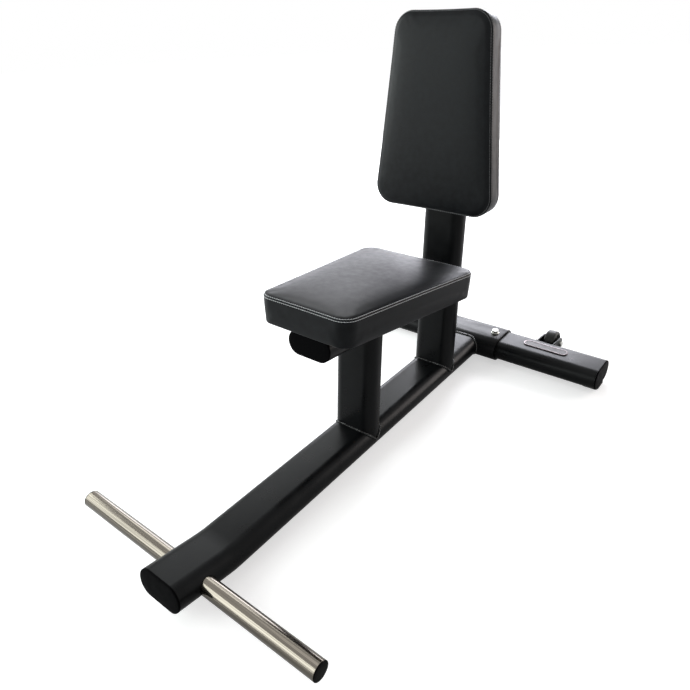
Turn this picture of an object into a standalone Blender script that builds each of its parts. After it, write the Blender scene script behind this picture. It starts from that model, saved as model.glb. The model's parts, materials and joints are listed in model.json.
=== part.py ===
"""Utility bench for strength training.

A bent flat-oval spine carries two leaning posts, a fixed seat and a fixed back pad. A chrome
footrest bar crosses its front end, and a crossbar with feet and transport wheels its rear end.

Every object hangs from an empty named bench. In its frame, stations (Y) run back from the footrest
bar's axis, heights (Z) run up from the spine's underside, and X runs across to the user's left.
The bench empty then puts the middle of the footprint at the origin and the floor at Z = 0.
"""

import math

import bmesh
import bpy
from mathutils import Vector

# Clearances: between pieces that touch, and round a bolt in its hole
GAP = 0.0003
BOLT_CLEARANCE = 0.0005

# Flat-oval tube of the frame
TUBE_WIDTH = 0.120
TUBE_HEIGHT = 0.060
TUBE_WALL = 0.003

# Main spine
SPINE_BEND_STATION = 0.073
SPINE_BEND_ANGLE = math.radians(8.4)
SPINE_BEND_RADIUS = 0.250
SPINE_NOSE_LENGTH = 0.138
FOOT_HEIGHT = 0.010

# Plug caps of the flat-oval tubes
CAP_FLANGE = 0.004
CAP_PLUG_DEPTH = 0.012
CAP_EDGE_ROUND = 0.0018
CAP_CROWN = 0.0008
CAP_CROWN_INSET = 0.024

# Footrest bar, which runs a little below the middle of the spine
BAR_DIAMETER = 0.038
BAR_DROP = 0.0023
BAR_WALL = 0.002
BAR_LENGTH = 0.682
BAR_CAP_FLANGE = 0.003
BAR_CAP_PLUG_DEPTH = 0.015
BAR_CAP_EDGE_ROUND = 0.0012

# Posts
POST_LEAN = math.radians(6.0)
FRONT_POST_STATION = 0.548
SEAT_POST_LENGTH = 0.250
BACK_POST_LENGTH = 0.880

# Seat: its tube, plates, board and cushion. Plates are placed from the cushion's two ends.
SEAT_TUBE_NOSE = 0.183
SEAT_PLATE_THICKNESS = 0.003
SEAT_PLATE_SIZE = (0.200, 0.045)
SEAT_PLATE_INSETS = (0.115, 0.096)
SEAT_PAD_OVERHANG = 0.027
SEAT_PAD_REAR_GAP = 0.090
SEAT_PAD_LENGTH = 0.471
SEAT_PAD_NARROW = 0.252
SEAT_PAD_WIDE = 0.344
SEAT_PAD_CORNER = 0.038
SEAT_PAD_DEPTH = 0.069

# Back: its plates, board and cushion
BACK_PLATE_THICKNESS = 0.006
BACK_PLATE_SIZE = (0.210, 0.040)
BACK_PLATE_INSETS = (0.120, 0.109)
BACK_PAD_RISE = 0.056
BACK_PAD_LENGTH = 0.474
BACK_PAD_NARROW = 0.258
BACK_PAD_WIDE = 0.356
BACK_PAD_CORNER = 0.051
BACK_PAD_DEPTH = 0.060

# What both cushions share
PAD_CROWN = 0.008
PAD_ROLL = 0.007
PAD_DRAW_IN = 0.0025
PAD_WAIST = 0.0015
PAD_TAPER = 0.002
PAD_UNDER_ROUND = 0.003
PAD_BOARD_MARGIN = 0.011
PAD_CROWN_RINGS = (0.15, 0.32, 0.52, 0.76)
BOARD_THICKNESS = 0.015
PLATE_CORNER = 0.008
PLATE_HOLE_INSET = 0.020

# Rear crossbar and the sleeve that holds it
CROSSBAR_STATION = 1.150
CROSSBAR_LENGTH = 0.854
SLEEVE_LENGTH = 0.236
SLEEVE_WALL = 0.006
SLEEVE_FIT = 0.0005

# Bolts through the sleeve
SLEEVE_BOLT_INSET = 0.028
SLEEVE_BOLT_DIAMETER = 0.012
SLEEVE_BOLT_FLATS = 0.0185
SLEEVE_BOLT_HEAD = 0.0075
SLEEVE_BOLT_TAIL = 0.0034
SLEEVE_WASHER_DIAMETER = 0.024
SLEEVE_WASHER_THICKNESS = 0.0022
SLEEVE_NUT_FLATS = 0.019
SLEEVE_NUT_HEIGHT = 0.010

# Bolts of the cushions
PAD_BOLT_DIAMETER = 0.008
PAD_BOLT_FLATS = 0.013
PAD_BOLT_HEAD = 0.0055
PAD_BOLT_FLANGE = 0.018
PAD_BOLT_FLANGE_HEIGHT = 0.0016
PAD_BOLT_GRIP = 0.011

# Blank badge plate on the crossbar
BADGE_LENGTH = 0.135
BADGE_WIDTH = 0.029
BADGE_THICKNESS = 0.003
BADGE_CORNER = 0.009
BADGE_RIM = 0.0024
BADGE_RECESS = 0.0009
BADGE_MIDDLE_X = 0.2545
BADGE_SETBACK = 0.006

# Rubber feet and their screws
FOOT_LENGTH = 0.050
FOOT_WIDTH = 0.056
FOOT_CORNER = 0.010
FOOT_DRAFT = 0.0015
FOOT_DRAFT_HEIGHT = 0.003
FRONT_FOOT_STATION = 0.135
REAR_FOOT_OVERHANG = 0.0045
FOOT_SCREW_DIAMETER = 0.006
FOOT_SCREW_HEAD = 0.012
FOOT_SCREW_HEAD_HEIGHT = 0.004
FOOT_SCREW_LENGTH = 0.020
FOOT_SCREW_RECESS = 0.006

# Transport wheels, their brackets, bushes and axle bolts
WHEEL_X = 0.237
WHEEL_DIAMETER = 0.072
WHEEL_TREAD = 0.033
WHEEL_FRONT_CLEARANCE = 0.010
WHEEL_FLOOR_CLEARANCE = 0.004
WHEEL_SIDE_CLEARANCE = 0.0065
WHEEL_SHOULDER = 0.005
WHEEL_RIM_DEPTH = 0.010
WHEEL_WEB = 0.016
WHEEL_HUB_DIAMETER = 0.030
WHEEL_HUB_CHAMFER = 0.0012
BRACKET_THICKNESS = 0.005
BRACKET_EYE_RADIUS = 0.019
BRACKET_SPREAD = math.radians(52.0)
BUSH_DIAMETER = 0.016
AXLE_DIAMETER = 0.010
AXLE_FLATS = 0.016
AXLE_HEAD = 0.0065
AXLE_NUT_HEIGHT = 0.009
AXLE_TAIL = 0.002

# Chamfers of every bolt, as shares of its head's or shank's size
HEAD_CROWN = 0.95
HEAD_CHAMFER = 0.12
SHANK_TIP = 0.85

# How finely curves are faceted
OVAL_ARC_STEPS = 10
CORNER_STEPS = 5
PAD_CORNER_STEPS = 6
PAD_SIDE_STEPS = 4
BAR_STEPS = 24
WHEEL_STEPS = 24
SMALL_ROUND_STEPS = 12
BEND_STEPS = 7
SMOOTH_ANGLE = math.radians(35.0)

# Sizes that follow from the ones above
HALF_HEIGHT = TUBE_HEIGHT / 2
CUTTER_LENGTH = 2 * TUBE_WIDTH
SEAT_AXIS_RISE = SEAT_POST_LENGTH + HALF_HEIGHT
SEAT_PAD_FRONT = SEAT_TUBE_NOSE + CAP_FLANGE + SEAT_PAD_OVERHANG
POST_SPACING = SEAT_PAD_LENGTH - SEAT_PAD_FRONT + SEAT_PAD_REAR_GAP + HALF_HEIGHT
BACK_POST_STATION = FRONT_POST_STATION + POST_SPACING / math.cos(POST_LEAN)
SLEEVE_WIDTH = TUBE_WIDTH + 2 * (SLEEVE_FIT + SLEEVE_WALL)
SLEEVE_HEIGHT = TUBE_HEIGHT + 2 * (SLEEVE_FIT + SLEEVE_WALL)
SLEEVE_BOLT_REACH = SLEEVE_LENGTH / 2 - SLEEVE_BOLT_INSET
REAR_FOOT_X = CROSSBAR_LENGTH / 2 + REAR_FOOT_OVERHANG - FOOT_LENGTH / 2
WHEEL_SETBACK = TUBE_WIDTH / 2 + WHEEL_FRONT_CLEARANCE + WHEEL_DIAMETER / 2
WHEEL_STATION = CROSSBAR_STATION + WHEEL_SETBACK
WHEEL_HEIGHT = WHEEL_DIAMETER / 2 + WHEEL_FLOOR_CLEARANCE - FOOT_HEIGHT
BRACKET_SPAN = WHEEL_TREAD + 2 * (WHEEL_SIDE_CLEARANCE + BRACKET_THICKNESS)
NOSE_RUN = (SPINE_NOSE_LENGTH + CAP_FLANGE) * math.cos(SPINE_BEND_ANGLE)
NOSE_REACH = NOSE_RUN + HALF_HEIGHT * math.sin(SPINE_BEND_ANGLE) - SPINE_BEND_STATION
FOOTPRINT_MIDDLE = (WHEEL_STATION + WHEEL_DIAMETER / 2 - NOSE_REACH) / 2

# Colour, roughness and metallic value of each finish
FINISHES = {
    "black_powder_coat": ((0.022, 0.023, 0.025), 0.42, 0.0),
    "polished_chrome": ((0.62, 0.59, 0.55), 0.16, 1.0),
    "black_plastic": ((0.014, 0.014, 0.015), 0.48, 0.0),
    "black_vinyl": ((0.019, 0.020, 0.023), 0.38, 0.0),
    "birch_plywood": ((0.42, 0.29, 0.17), 0.70, 0.0),
    "zinc_plate": ((0.56, 0.56, 0.54), 0.30, 1.0),
    "satin_aluminium": ((0.58, 0.55, 0.56), 0.36, 1.0),
    "black_rubber": ((0.016, 0.016, 0.016), 0.75, 0.0),
    "nylon": ((0.55, 0.54, 0.50), 0.50, 0.0),
}


def clear_scene():
    for obj in list(bpy.data.objects):
        bpy.data.objects.remove(obj, do_unlink=True)


def finish(name):
    material = bpy.data.materials.get(name)
    if material is None:
        colour, roughness, metallic = FINISHES[name]
        material = bpy.data.materials.new(name)
        material.use_nodes = True
        shader = material.node_tree.nodes["Principled BSDF"]
        shader.inputs["Base Color"].default_value = (*colour, 1.0)
        shader.inputs["Roughness"].default_value = roughness
        shader.inputs["Metallic"].default_value = metallic
        material.diffuse_color = (*colour, 1.0)
    return material


# Outlines, as lists of (x, y) points that run counter-clockwise


def arc(centre, radius, start, end, steps):
    """Points on an arc from one angle to another, both ends included."""
    angles = [start + (end - start) * i / steps for i in range(steps + 1)]
    return [(centre[0] + radius * math.cos(a), centre[1] + radius * math.sin(a)) for a in angles]


def circle(radius, steps):
    return arc((0, 0), radius, 0, 2 * math.pi, steps)[:-1]


def hexagon(across_flats, steps):
    """A hexagon with the same number of points as a circle of that many steps."""
    points = []
    for i in range(steps):
        angle = 2 * math.pi * i / steps
        from_flat = (angle + math.pi / 6) % (math.pi / 3) - math.pi / 6
        radius = across_flats / 2 / math.cos(from_flat)
        points.append((radius * math.cos(angle), radius * math.sin(angle)))
    return points


def flat_oval(width, height):
    """Two straight sides along X joined by half circles."""
    radius = height / 2
    reach = width / 2 - radius
    quarter = math.pi / 2
    right = arc((reach, 0), radius, -quarter, quarter, OVAL_ARC_STEPS)
    return right + [(-x, -y) for x, y in right]


def oval_inside(inset):
    """The frame tube's section, drawn in all round."""
    return flat_oval(TUBE_WIDTH - 2 * inset, TUBE_HEIGHT - 2 * inset)


def saddle(drop):
    """The upper half of the frame tube's section with a clearance, its sides carried down."""
    upper = [(x, y) for x, y in oval_inside(-GAP) if y > -GAP]
    upper.sort(key=lambda point: -point[0])
    edge = upper[0][0]
    return [(-edge, -drop), (edge, -drop)] + upper


def rounded_rectangle(length, width, corner):
    quarter = math.pi / 2
    points = []
    for turn, (sx, sy) in enumerate(((1, 1), (-1, 1), (-1, -1), (1, -1))):
        centre = (sx * (length / 2 - corner), sy * (width / 2 - corner))
        points += arc(centre, corner, turn * quarter, (turn + 1) * quarter, CORNER_STEPS)
    return points


def pad_outline(pad, inset, draw_in=0.0):
    """A cushion seen from above: a trapezium with round corners, its narrow edge on the X axis.

    Each edge between two corners is drawn in by a shallow curve.
    """
    flare = math.atan((pad["wide"] - pad["narrow"]) / 2 / pad["length"])
    corner = max(pad["corner"] - inset, pad["corner"] / 4)

    def corner_centre(y):
        side = pad["narrow"] / 2 + y * math.tan(flare)
        return side - (inset + corner) / math.cos(flare), y

    quarter = math.pi / 2
    narrow_arc = arc(corner_centre(inset + corner), corner, -quarter, -flare, PAD_CORNER_STEPS)
    wide_centre = corner_centre(pad["length"] - inset - corner)
    wide_arc = arc(wide_centre, corner, -flare, quarter, PAD_CORNER_STEPS)
    arcs = [
        narrow_arc,
        wide_arc,
        [(-x, y) for x, y in reversed(wide_arc)],
        [(-x, y) for x, y in reversed(narrow_arc)],
    ]
    outline = []
    for this, following in zip(arcs, arcs[1:] + arcs[:1]):
        outline += this
        start, end = Vector(this[-1]), Vector(following[0])
        inward = Vector((start.y - end.y, end.x - start.x)).normalized()
        for i in range(1, PAD_SIDE_STEPS):
            t = i / PAD_SIDE_STEPS
            outline.append(tuple(start.lerp(end, t) + inward * draw_in * 4 * t * (1 - t)))
    return outline


# Solids, as lofts through rings that all have the same number of points


def flat_ring(outline, z):
    return [Vector((x, y, z)) for x, y in outline]


def turned_rings(profile, steps):
    """Rings about the Z axis, one for each (radius, z) of the profile."""
    return [flat_ring(circle(radius, steps), z) for radius, z in profile]


def loft(rings, joined=False):
    """A mesh through the rings.

    Joined, its last ring meets its first, as in a pipe. Otherwise both its ends are filled.
    """
    mesh = bpy.data.meshes.new("loft")
    bm = bmesh.new()
    loops = [[bm.verts.new(point) for point in ring] for ring in rings]
    pairs = list(zip(loops, loops[1:]))
    if joined:
        pairs.append((loops[-1], loops[0]))
    else:
        bm.faces.new(loops[0])
        bm.faces.new(loops[-1])
    for lower, upper in pairs:
        for i in range(len(lower)):
            j = (i + 1) % len(lower)
            bm.faces.new((lower[i], lower[j], upper[j], upper[i]))
    bmesh.ops.recalc_face_normals(bm, faces=bm.faces[:])
    bm.to_mesh(mesh)
    bm.free()
    return mesh


def prism(outline, height, start=0.0):
    """The outline raised along Z."""
    return loft([flat_ring(outline, start), flat_ring(outline, start + height)])


def pipe(outer, inner, start, end):
    """A straight tube along Z."""
    return loft(
        [
            flat_ring(outer, start),
            flat_ring(outer, end),
            flat_ring(inner, end),
            flat_ring(inner, start),
        ],
        joined=True,
    )


# Objects


def empty(name, parent=None, location=(0, 0, 0), rotation=(0, 0, 0)):
    holder = bpy.data.objects.new(name, None)
    holder.empty_display_size = 0.05
    bpy.context.scene.collection.objects.link(holder)
    holder.parent = parent
    holder.location = location
    holder.rotation_euler = rotation
    return holder


def piece(name, mesh, finish_name, parent, location=(0, 0, 0), rotation=(0, 0, 0)):
    obj = bpy.data.objects.new(name, mesh)
    bpy.context.scene.collection.objects.link(obj)
    obj.parent = parent
    obj.location = location
    obj.rotation_euler = rotation
    if not mesh.materials:
        mesh.name = name
        mesh.materials.append(finish(finish_name))
        mesh.shade_smooth()
        mesh.set_sharp_from_angle(angle=SMOOTH_ANGLE)
    return obj


def cut(obj, name, mesh, parent, location=(0, 0, 0), rotation=(0, 0, 0)):
    """Takes the mesh's shape out of the object."""
    cutter = bpy.data.objects.new(name, mesh)
    bpy.context.scene.collection.objects.link(cutter)
    cutter.parent = parent
    cutter.location = location
    cutter.rotation_euler = rotation
    cutter.hide_render = True
    cutter.display_type = "WIRE"
    modifier = obj.modifiers.new(name, "BOOLEAN")
    modifier.operation = "DIFFERENCE"
    modifier.solver = "EXACT"
    modifier.object = cutter


def bevel(obj, width, segments=2):
    modifier = obj.modifiers.new("edge", "BEVEL")
    modifier.width = width
    modifier.segments = segments
    modifier.limit_method = "ANGLE"
    modifier.angle_limit = math.radians(50.0)


def hole(obj, name, diameter, depth, parent, location, rotation=(0, 0, 0)):
    """Drills a round hole that runs along Z from the location, half its depth each way."""
    steps = SMALL_ROUND_STEPS
    mesh = prism(circle(diameter / 2, steps), depth, -depth / 2)
    cut(obj, name, mesh, parent, location, rotation)


# Frame


def spine_sections():
    """(place, tilt) along the spine's centre line from its nose to the crossbar."""
    run_in = SPINE_BEND_RADIUS * math.tan(SPINE_BEND_ANGLE / 2)
    bend_end = Vector((0, SPINE_BEND_STATION + run_in, HALF_HEIGHT))
    sections = []
    for i in range(BEND_STEPS + 1):
        tilt = SPINE_BEND_ANGLE * (1 - i / BEND_STEPS)
        back = Vector((0, math.sin(tilt), math.cos(tilt) - 1)) * SPINE_BEND_RADIUS
        sections.append((bend_end - back, tilt))
    nose_run = SPINE_NOSE_LENGTH - run_in
    along = Vector((0, -math.cos(SPINE_BEND_ANGLE), math.sin(SPINE_BEND_ANGLE)))
    nose = (sections[0][0] + along * nose_run, SPINE_BEND_ANGLE)
    end = (Vector((0, CROSSBAR_STATION - TUBE_WIDTH / 2 + HALF_HEIGHT, HALF_HEIGHT)), 0.0)
    return [nose] + sections + [end]


def tilted_ring(outline, place, tilt):
    up = Vector((0, math.sin(tilt), math.cos(tilt)))
    return [place + Vector((x, 0, 0)) + up * y for x, y in outline]


def bar_height():
    return HALF_HEIGHT + SPINE_BEND_STATION * math.tan(SPINE_BEND_ANGLE) - BAR_DROP


def make_spine(bench):
    sections = spine_sections()
    outer = [tilted_ring(oval_inside(0), *section) for section in sections]
    inner = [tilted_ring(oval_inside(TUBE_WALL), *section) for section in sections]
    spine = piece("main_spine", loft(outer + inner[::-1], joined=True), "black_powder_coat", bench)
    bar_round = circle(BAR_DIAMETER / 2 + GAP, BAR_STEPS)
    bar_hole = prism(bar_round, CUTTER_LENGTH, -CUTTER_LENGTH / 2)
    across = (0, math.radians(90), 0)
    cut(spine, "bar_cutter", bar_hole, bench, (0, 0, bar_height()), across)
    sleeve_round = circle(SLEEVE_HEIGHT / 2 + GAP, 2 * OVAL_ARC_STEPS)
    sleeve_front = prism(sleeve_round, CUTTER_LENGTH, -CUTTER_LENGTH / 2)
    round_middle = CROSSBAR_STATION - (SLEEVE_WIDTH - SLEEVE_HEIGHT) / 2
    cut(spine, "sleeve_cutter", sleeve_front, bench, (0, round_middle, HALF_HEIGHT), across)
    foot_place = (0, FRONT_FOOT_STATION, 0)
    hole(spine, "front_foot_hole", FOOT_SCREW_DIAMETER + 2 * GAP, HALF_HEIGHT, bench, foot_place)
    nose_place, nose_tilt = sections[0]
    facing = (math.radians(90) - nose_tilt, 0, 0)
    piece("spine_front_cap", oval_cap_mesh(), "black_plastic", bench, nose_place, facing)
    return spine


def oval_cap_mesh():
    """A plug cap whose flange stands on the XY plane, facing +Z, and whose plug reaches down."""
    plug = oval_inside(TUBE_WALL + GAP)
    rounding = [
        (CAP_EDGE_ROUND * (1 - math.cos(a)), CAP_FLANGE - CAP_EDGE_ROUND * (1 - math.sin(a)))
        for a in (0, math.radians(45), math.radians(90))
    ]
    rings = [flat_ring(plug, -CAP_PLUG_DEPTH), flat_ring(plug, GAP), flat_ring(oval_inside(0), GAP)]
    rings += [flat_ring(oval_inside(inset), z) for inset, z in rounding]
    rings.append(flat_ring(oval_inside(CAP_CROWN_INSET), CAP_FLANGE + CAP_CROWN))
    return loft(rings)


def make_footrest(bench):
    height = bar_height()
    radius = BAR_DIAMETER / 2
    across = (0, math.radians(90), 0)
    outer = circle(radius, BAR_STEPS)
    inner = circle(radius - BAR_WALL, BAR_STEPS)
    tube = pipe(outer, inner, -BAR_LENGTH / 2, BAR_LENGTH / 2)
    piece("footrest_bar", tube, "polished_chrome", bench, (0, 0, height), across)
    plug = radius - BAR_WALL - GAP
    edge = BAR_CAP_EDGE_ROUND
    profile = [
        (plug, -BAR_CAP_PLUG_DEPTH),
        (plug, GAP),
        (radius, GAP),
        (radius, BAR_CAP_FLANGE - edge),
        (radius - edge * 0.3, BAR_CAP_FLANGE - edge * 0.3),
        (radius - edge, BAR_CAP_FLANGE),
    ]
    cap = loft(turned_rings(profile, BAR_STEPS))
    for side, name in ((1, "left"), (-1, "right")):
        place = (side * BAR_LENGTH / 2, 0, height)
        turned = (0, side * math.radians(90), 0)
        piece(f"footrest_cap_{name}", cap, "black_plastic", bench, place, turned)


def make_posts(bench):
    """Both posts stand on empties at their feet, whose Z axes lean back along the posts."""
    lean = (-POST_LEAN, 0, 0)
    front = empty("front_post_foot", bench, (0, FRONT_POST_STATION, TUBE_HEIGHT), lean)
    back = empty("back_post_foot", bench, (0, BACK_POST_STATION, TUBE_HEIGHT), lean)
    outer, inner = oval_inside(0), oval_inside(TUBE_WALL)
    front_tube = pipe(outer, inner, -HALF_HEIGHT, SEAT_AXIS_RISE)
    front_post = piece("front_post", front_tube, "black_powder_coat", front)
    back_tube = pipe(outer, inner, -HALF_HEIGHT, BACK_POST_LENGTH - CAP_FLANGE)
    back_post = piece("back_post", back_tube, "black_powder_coat", back)
    top = (0, 0, BACK_POST_LENGTH - CAP_FLANGE)
    piece("back_post_cap", oval_cap_mesh(), "black_plastic", back, top)

    upright = (math.radians(90), 0, 0)
    spine_saddle = prism(saddle(TUBE_HEIGHT), CUTTER_LENGTH, -CUTTER_LENGTH / 2)
    for post, station in ((front_post, FRONT_POST_STATION), (back_post, BACK_POST_STATION)):
        place = (0, station, HALF_HEIGHT)
        cut(post, f"{post.name}_spine_cutter", spine_saddle, bench, place, upright)
    seat_place = (0, 0, SEAT_AXIS_RISE)
    flipped = (math.radians(90), math.radians(180), 0)
    cut(front_post, "front_post_seat_cutter", spine_saddle, front, seat_place, flipped)
    return front, back


def make_seat_tube(front):
    """The tube under the seat, square to the posts, from its capped nose to the back post."""
    along = (math.radians(90), 0, 0)
    nose = (0, -SEAT_TUBE_NOSE, SEAT_AXIS_RISE)
    tube = pipe(oval_inside(0), oval_inside(TUBE_WALL), -SEAT_TUBE_NOSE - POST_SPACING, 0)
    seat_tube = piece("seat_tube", tube, "black_powder_coat", front, nose, along)
    piece("seat_tube_cap", oval_cap_mesh(), "black_plastic", front, nose, along)
    post_saddle = prism(saddle(TUBE_HEIGHT), CUTTER_LENGTH, -CUTTER_LENGTH / 2)
    # The saddle's rounded side faces forward, as the back post's front does.
    place = (0, POST_SPACING, SEAT_AXIS_RISE)
    cut(seat_tube, "seat_tube_post_cutter", post_saddle, front, place, (0, 0, math.radians(180)))


# Cushions


def pad_height(pad, inset):
    """How high the cushion's top stands at a distance in from its side."""
    reach = pad["narrow"] / 2
    share = 1 - (inset - PAD_ROLL) / (reach - PAD_ROLL)
    return pad["depth"] + PAD_CROWN * (1 - share * share)


def pad_mesh(pad):
    """A cushion that opens downwards over its board, with drawn-in sides and a crown."""
    pocket = pad_outline(pad, PAD_BOARD_MARGIN - GAP)
    rings = [flat_ring(pocket, BOARD_THICKNESS + GAP), flat_ring(pocket, 0)]
    under = PAD_UNDER_ROUND
    seam = pad["depth"] - PAD_ROLL
    # Each row is how far in, how high, and how much of the draw-in applies.
    side = [
        (PAD_TAPER + under, 0.0, 0.0),
        (PAD_TAPER + under * 0.3, under * 0.3, 0.3),
        (PAD_TAPER, under, 0.6),
        (PAD_TAPER / 2 + PAD_WAIST, (under + seam) / 2, 1.0),
        (0.0, seam, 1.0),
        (PAD_ROLL * 0.2, seam + PAD_ROLL * 0.55, 1.0),
        (PAD_ROLL, pad["depth"], 1.0),
    ]
    rings += [flat_ring(pad_outline(pad, inset, PAD_DRAW_IN * pull), z) for inset, z, pull in side]
    reach = pad["narrow"] / 2
    for share in PAD_CROWN_RINGS:
        inset = reach * share
        pull = PAD_DRAW_IN * (1 - share)
        rings.append(flat_ring(pad_outline(pad, inset, pull), pad_height(pad, inset)))
    return loft(rings)


def make_pad(kind, pad, parent, insets, plate_thickness, plate_size):
    """A cushion with its board, the two steel plates behind it and the bolts through them.

    In the parent's frame the plates lie on the XY plane, the cushion faces +Z, and Y runs from its
    narrow end to its wide end.
    """
    board_bottom = GAP + plate_thickness + GAP
    piece(f"{kind}_pad", pad_mesh(pad), "black_vinyl", parent, (0, 0, board_bottom))
    board_mesh = prism(pad_outline(pad, PAD_BOARD_MARGIN), BOARD_THICKNESS)
    board = piece(f"{kind}_board", board_mesh, "birch_plywood", parent, (0, 0, board_bottom))
    plate_mesh = prism(rounded_rectangle(*plate_size, PLATE_CORNER), plate_thickness)
    bolt = pad_bolt_mesh(plate_thickness)
    bolt_reach = plate_size[0] / 2 - PLATE_HOLE_INSET
    stations = (insets[0], pad["length"] - insets[1])
    number = 1
    for station, place_name in zip(stations, pad["plates"]):
        place = (0, station, GAP)
        name = f"{kind}_plate_{place_name}"
        plate = piece(name, plate_mesh, "black_powder_coat", parent, place)
        for side in (1, -1):
            x = side * bolt_reach
            wide_hole = PAD_BOLT_DIAMETER + 2 * BOLT_CLEARANCE
            depth = 3 * plate_thickness
            hole(plate, f"{name}_hole_{number}", wide_hole, depth, parent, (x, station, 0))
            tight_hole = PAD_BOLT_DIAMETER + 2 * GAP
            depth = 2 * (PAD_BOLT_GRIP + GAP)
            place = (x, station, board_bottom)
            hole(board, f"{kind}_board_hole_{number}", tight_hole, depth, parent, place)
            piece(f"{kind}_bolt_{number}", bolt, "zinc_plate", parent, (x, station, 0))
            number += 1


def pad_bolt_mesh(plate_thickness):
    """A flanged hex bolt whose flange bears on the XY plane from below, its shank pointing up."""
    steps = SMALL_ROUND_STEPS
    shank = circle(PAD_BOLT_DIAMETER / 2, steps)
    flange = circle(PAD_BOLT_FLANGE / 2, steps)
    low = -PAD_BOLT_FLANGE_HEIGHT
    head = hexagon(PAD_BOLT_FLATS, steps)
    crown = circle(PAD_BOLT_FLATS / 2 * HEAD_CROWN, steps)
    return loft(
        [
            flat_ring(shank, plate_thickness + 2 * GAP + PAD_BOLT_GRIP),
            flat_ring(shank, 0),
            flat_ring(flange, 0),
            flat_ring(flange, low / 2),
            flat_ring(head, low),
            flat_ring(head, low - PAD_BOLT_HEAD * (1 - HEAD_CHAMFER)),
            flat_ring(crown, low - PAD_BOLT_HEAD),
        ]
    )


def make_seat(front):
    pad = {
        "narrow": SEAT_PAD_NARROW,
        "wide": SEAT_PAD_WIDE,
        "length": SEAT_PAD_LENGTH,
        "corner": SEAT_PAD_CORNER,
        "depth": SEAT_PAD_DEPTH,
        "plates": ("front", "rear"),
    }
    datum = empty("seat_datum", front, (0, -SEAT_PAD_FRONT, SEAT_AXIS_RISE + HALF_HEIGHT))
    make_pad("seat", pad, datum, SEAT_PLATE_INSETS, SEAT_PLATE_THICKNESS, SEAT_PLATE_SIZE)


def make_back(back):
    pad = {
        "narrow": BACK_PAD_NARROW,
        "wide": BACK_PAD_WIDE,
        "length": BACK_PAD_LENGTH,
        "corner": BACK_PAD_CORNER,
        "depth": BACK_PAD_DEPTH,
        "plates": ("upper", "lower"),
    }
    # Its Y axis runs down the post and its Z axis forward.
    turned = (math.radians(-90), 0, math.radians(180))
    place = (0, -HALF_HEIGHT, BACK_POST_LENGTH + BACK_PAD_RISE)
    datum = empty("back_datum", back, place, turned)
    make_pad("back", pad, datum, BACK_PLATE_INSETS, BACK_PLATE_THICKNESS, BACK_PLATE_SIZE)


# Rear crossbar


def make_crossbar(bench):
    """Everything about the crossbar hangs from an empty at its middle, with X along the bar."""
    datum = empty("crossbar_datum", bench, (0, CROSSBAR_STATION, HALF_HEIGHT))
    along = (math.radians(90), 0, math.radians(90))
    half = CROSSBAR_LENGTH / 2
    tube = pipe(oval_inside(0), oval_inside(TUBE_WALL), -half, half)
    crossbar = piece("rear_crossbar", tube, "black_powder_coat", datum, (0, 0, 0), along)
    sleeve_hollow = flat_oval(TUBE_WIDTH + 2 * SLEEVE_FIT, TUBE_HEIGHT + 2 * SLEEVE_FIT)
    sleeve_outer = flat_oval(SLEEVE_WIDTH, SLEEVE_HEIGHT)
    sleeve_mesh = pipe(sleeve_outer, sleeve_hollow, -SLEEVE_LENGTH / 2, SLEEVE_LENGTH / 2)
    sleeve = piece("rear_sleeve", sleeve_mesh, "black_powder_coat", datum, (0, 0, 0), along)
    bevel(sleeve, SLEEVE_WALL / 8)

    cap = oval_cap_mesh()
    for side, name in ((1, "left"), (-1, "right")):
        turned = (math.radians(90), 0, side * math.radians(90))
        place = (side * half, 0, 0)
        piece(f"crossbar_cap_{name}", cap, "black_plastic", datum, place, turned)
        make_sleeve_bolt(datum, sleeve, crossbar, side, name)
        foot_place = (side * REAR_FOOT_X, 0, -HALF_HEIGHT)
        make_foot(f"rear_foot_{name}", datum, foot_place, 0.0)
        foot_hole = FOOT_SCREW_DIAMETER + 2 * GAP
        hole(crossbar, f"rear_foot_hole_{name}", foot_hole, HALF_HEIGHT, datum, foot_place)
    make_badge(bench)


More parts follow.
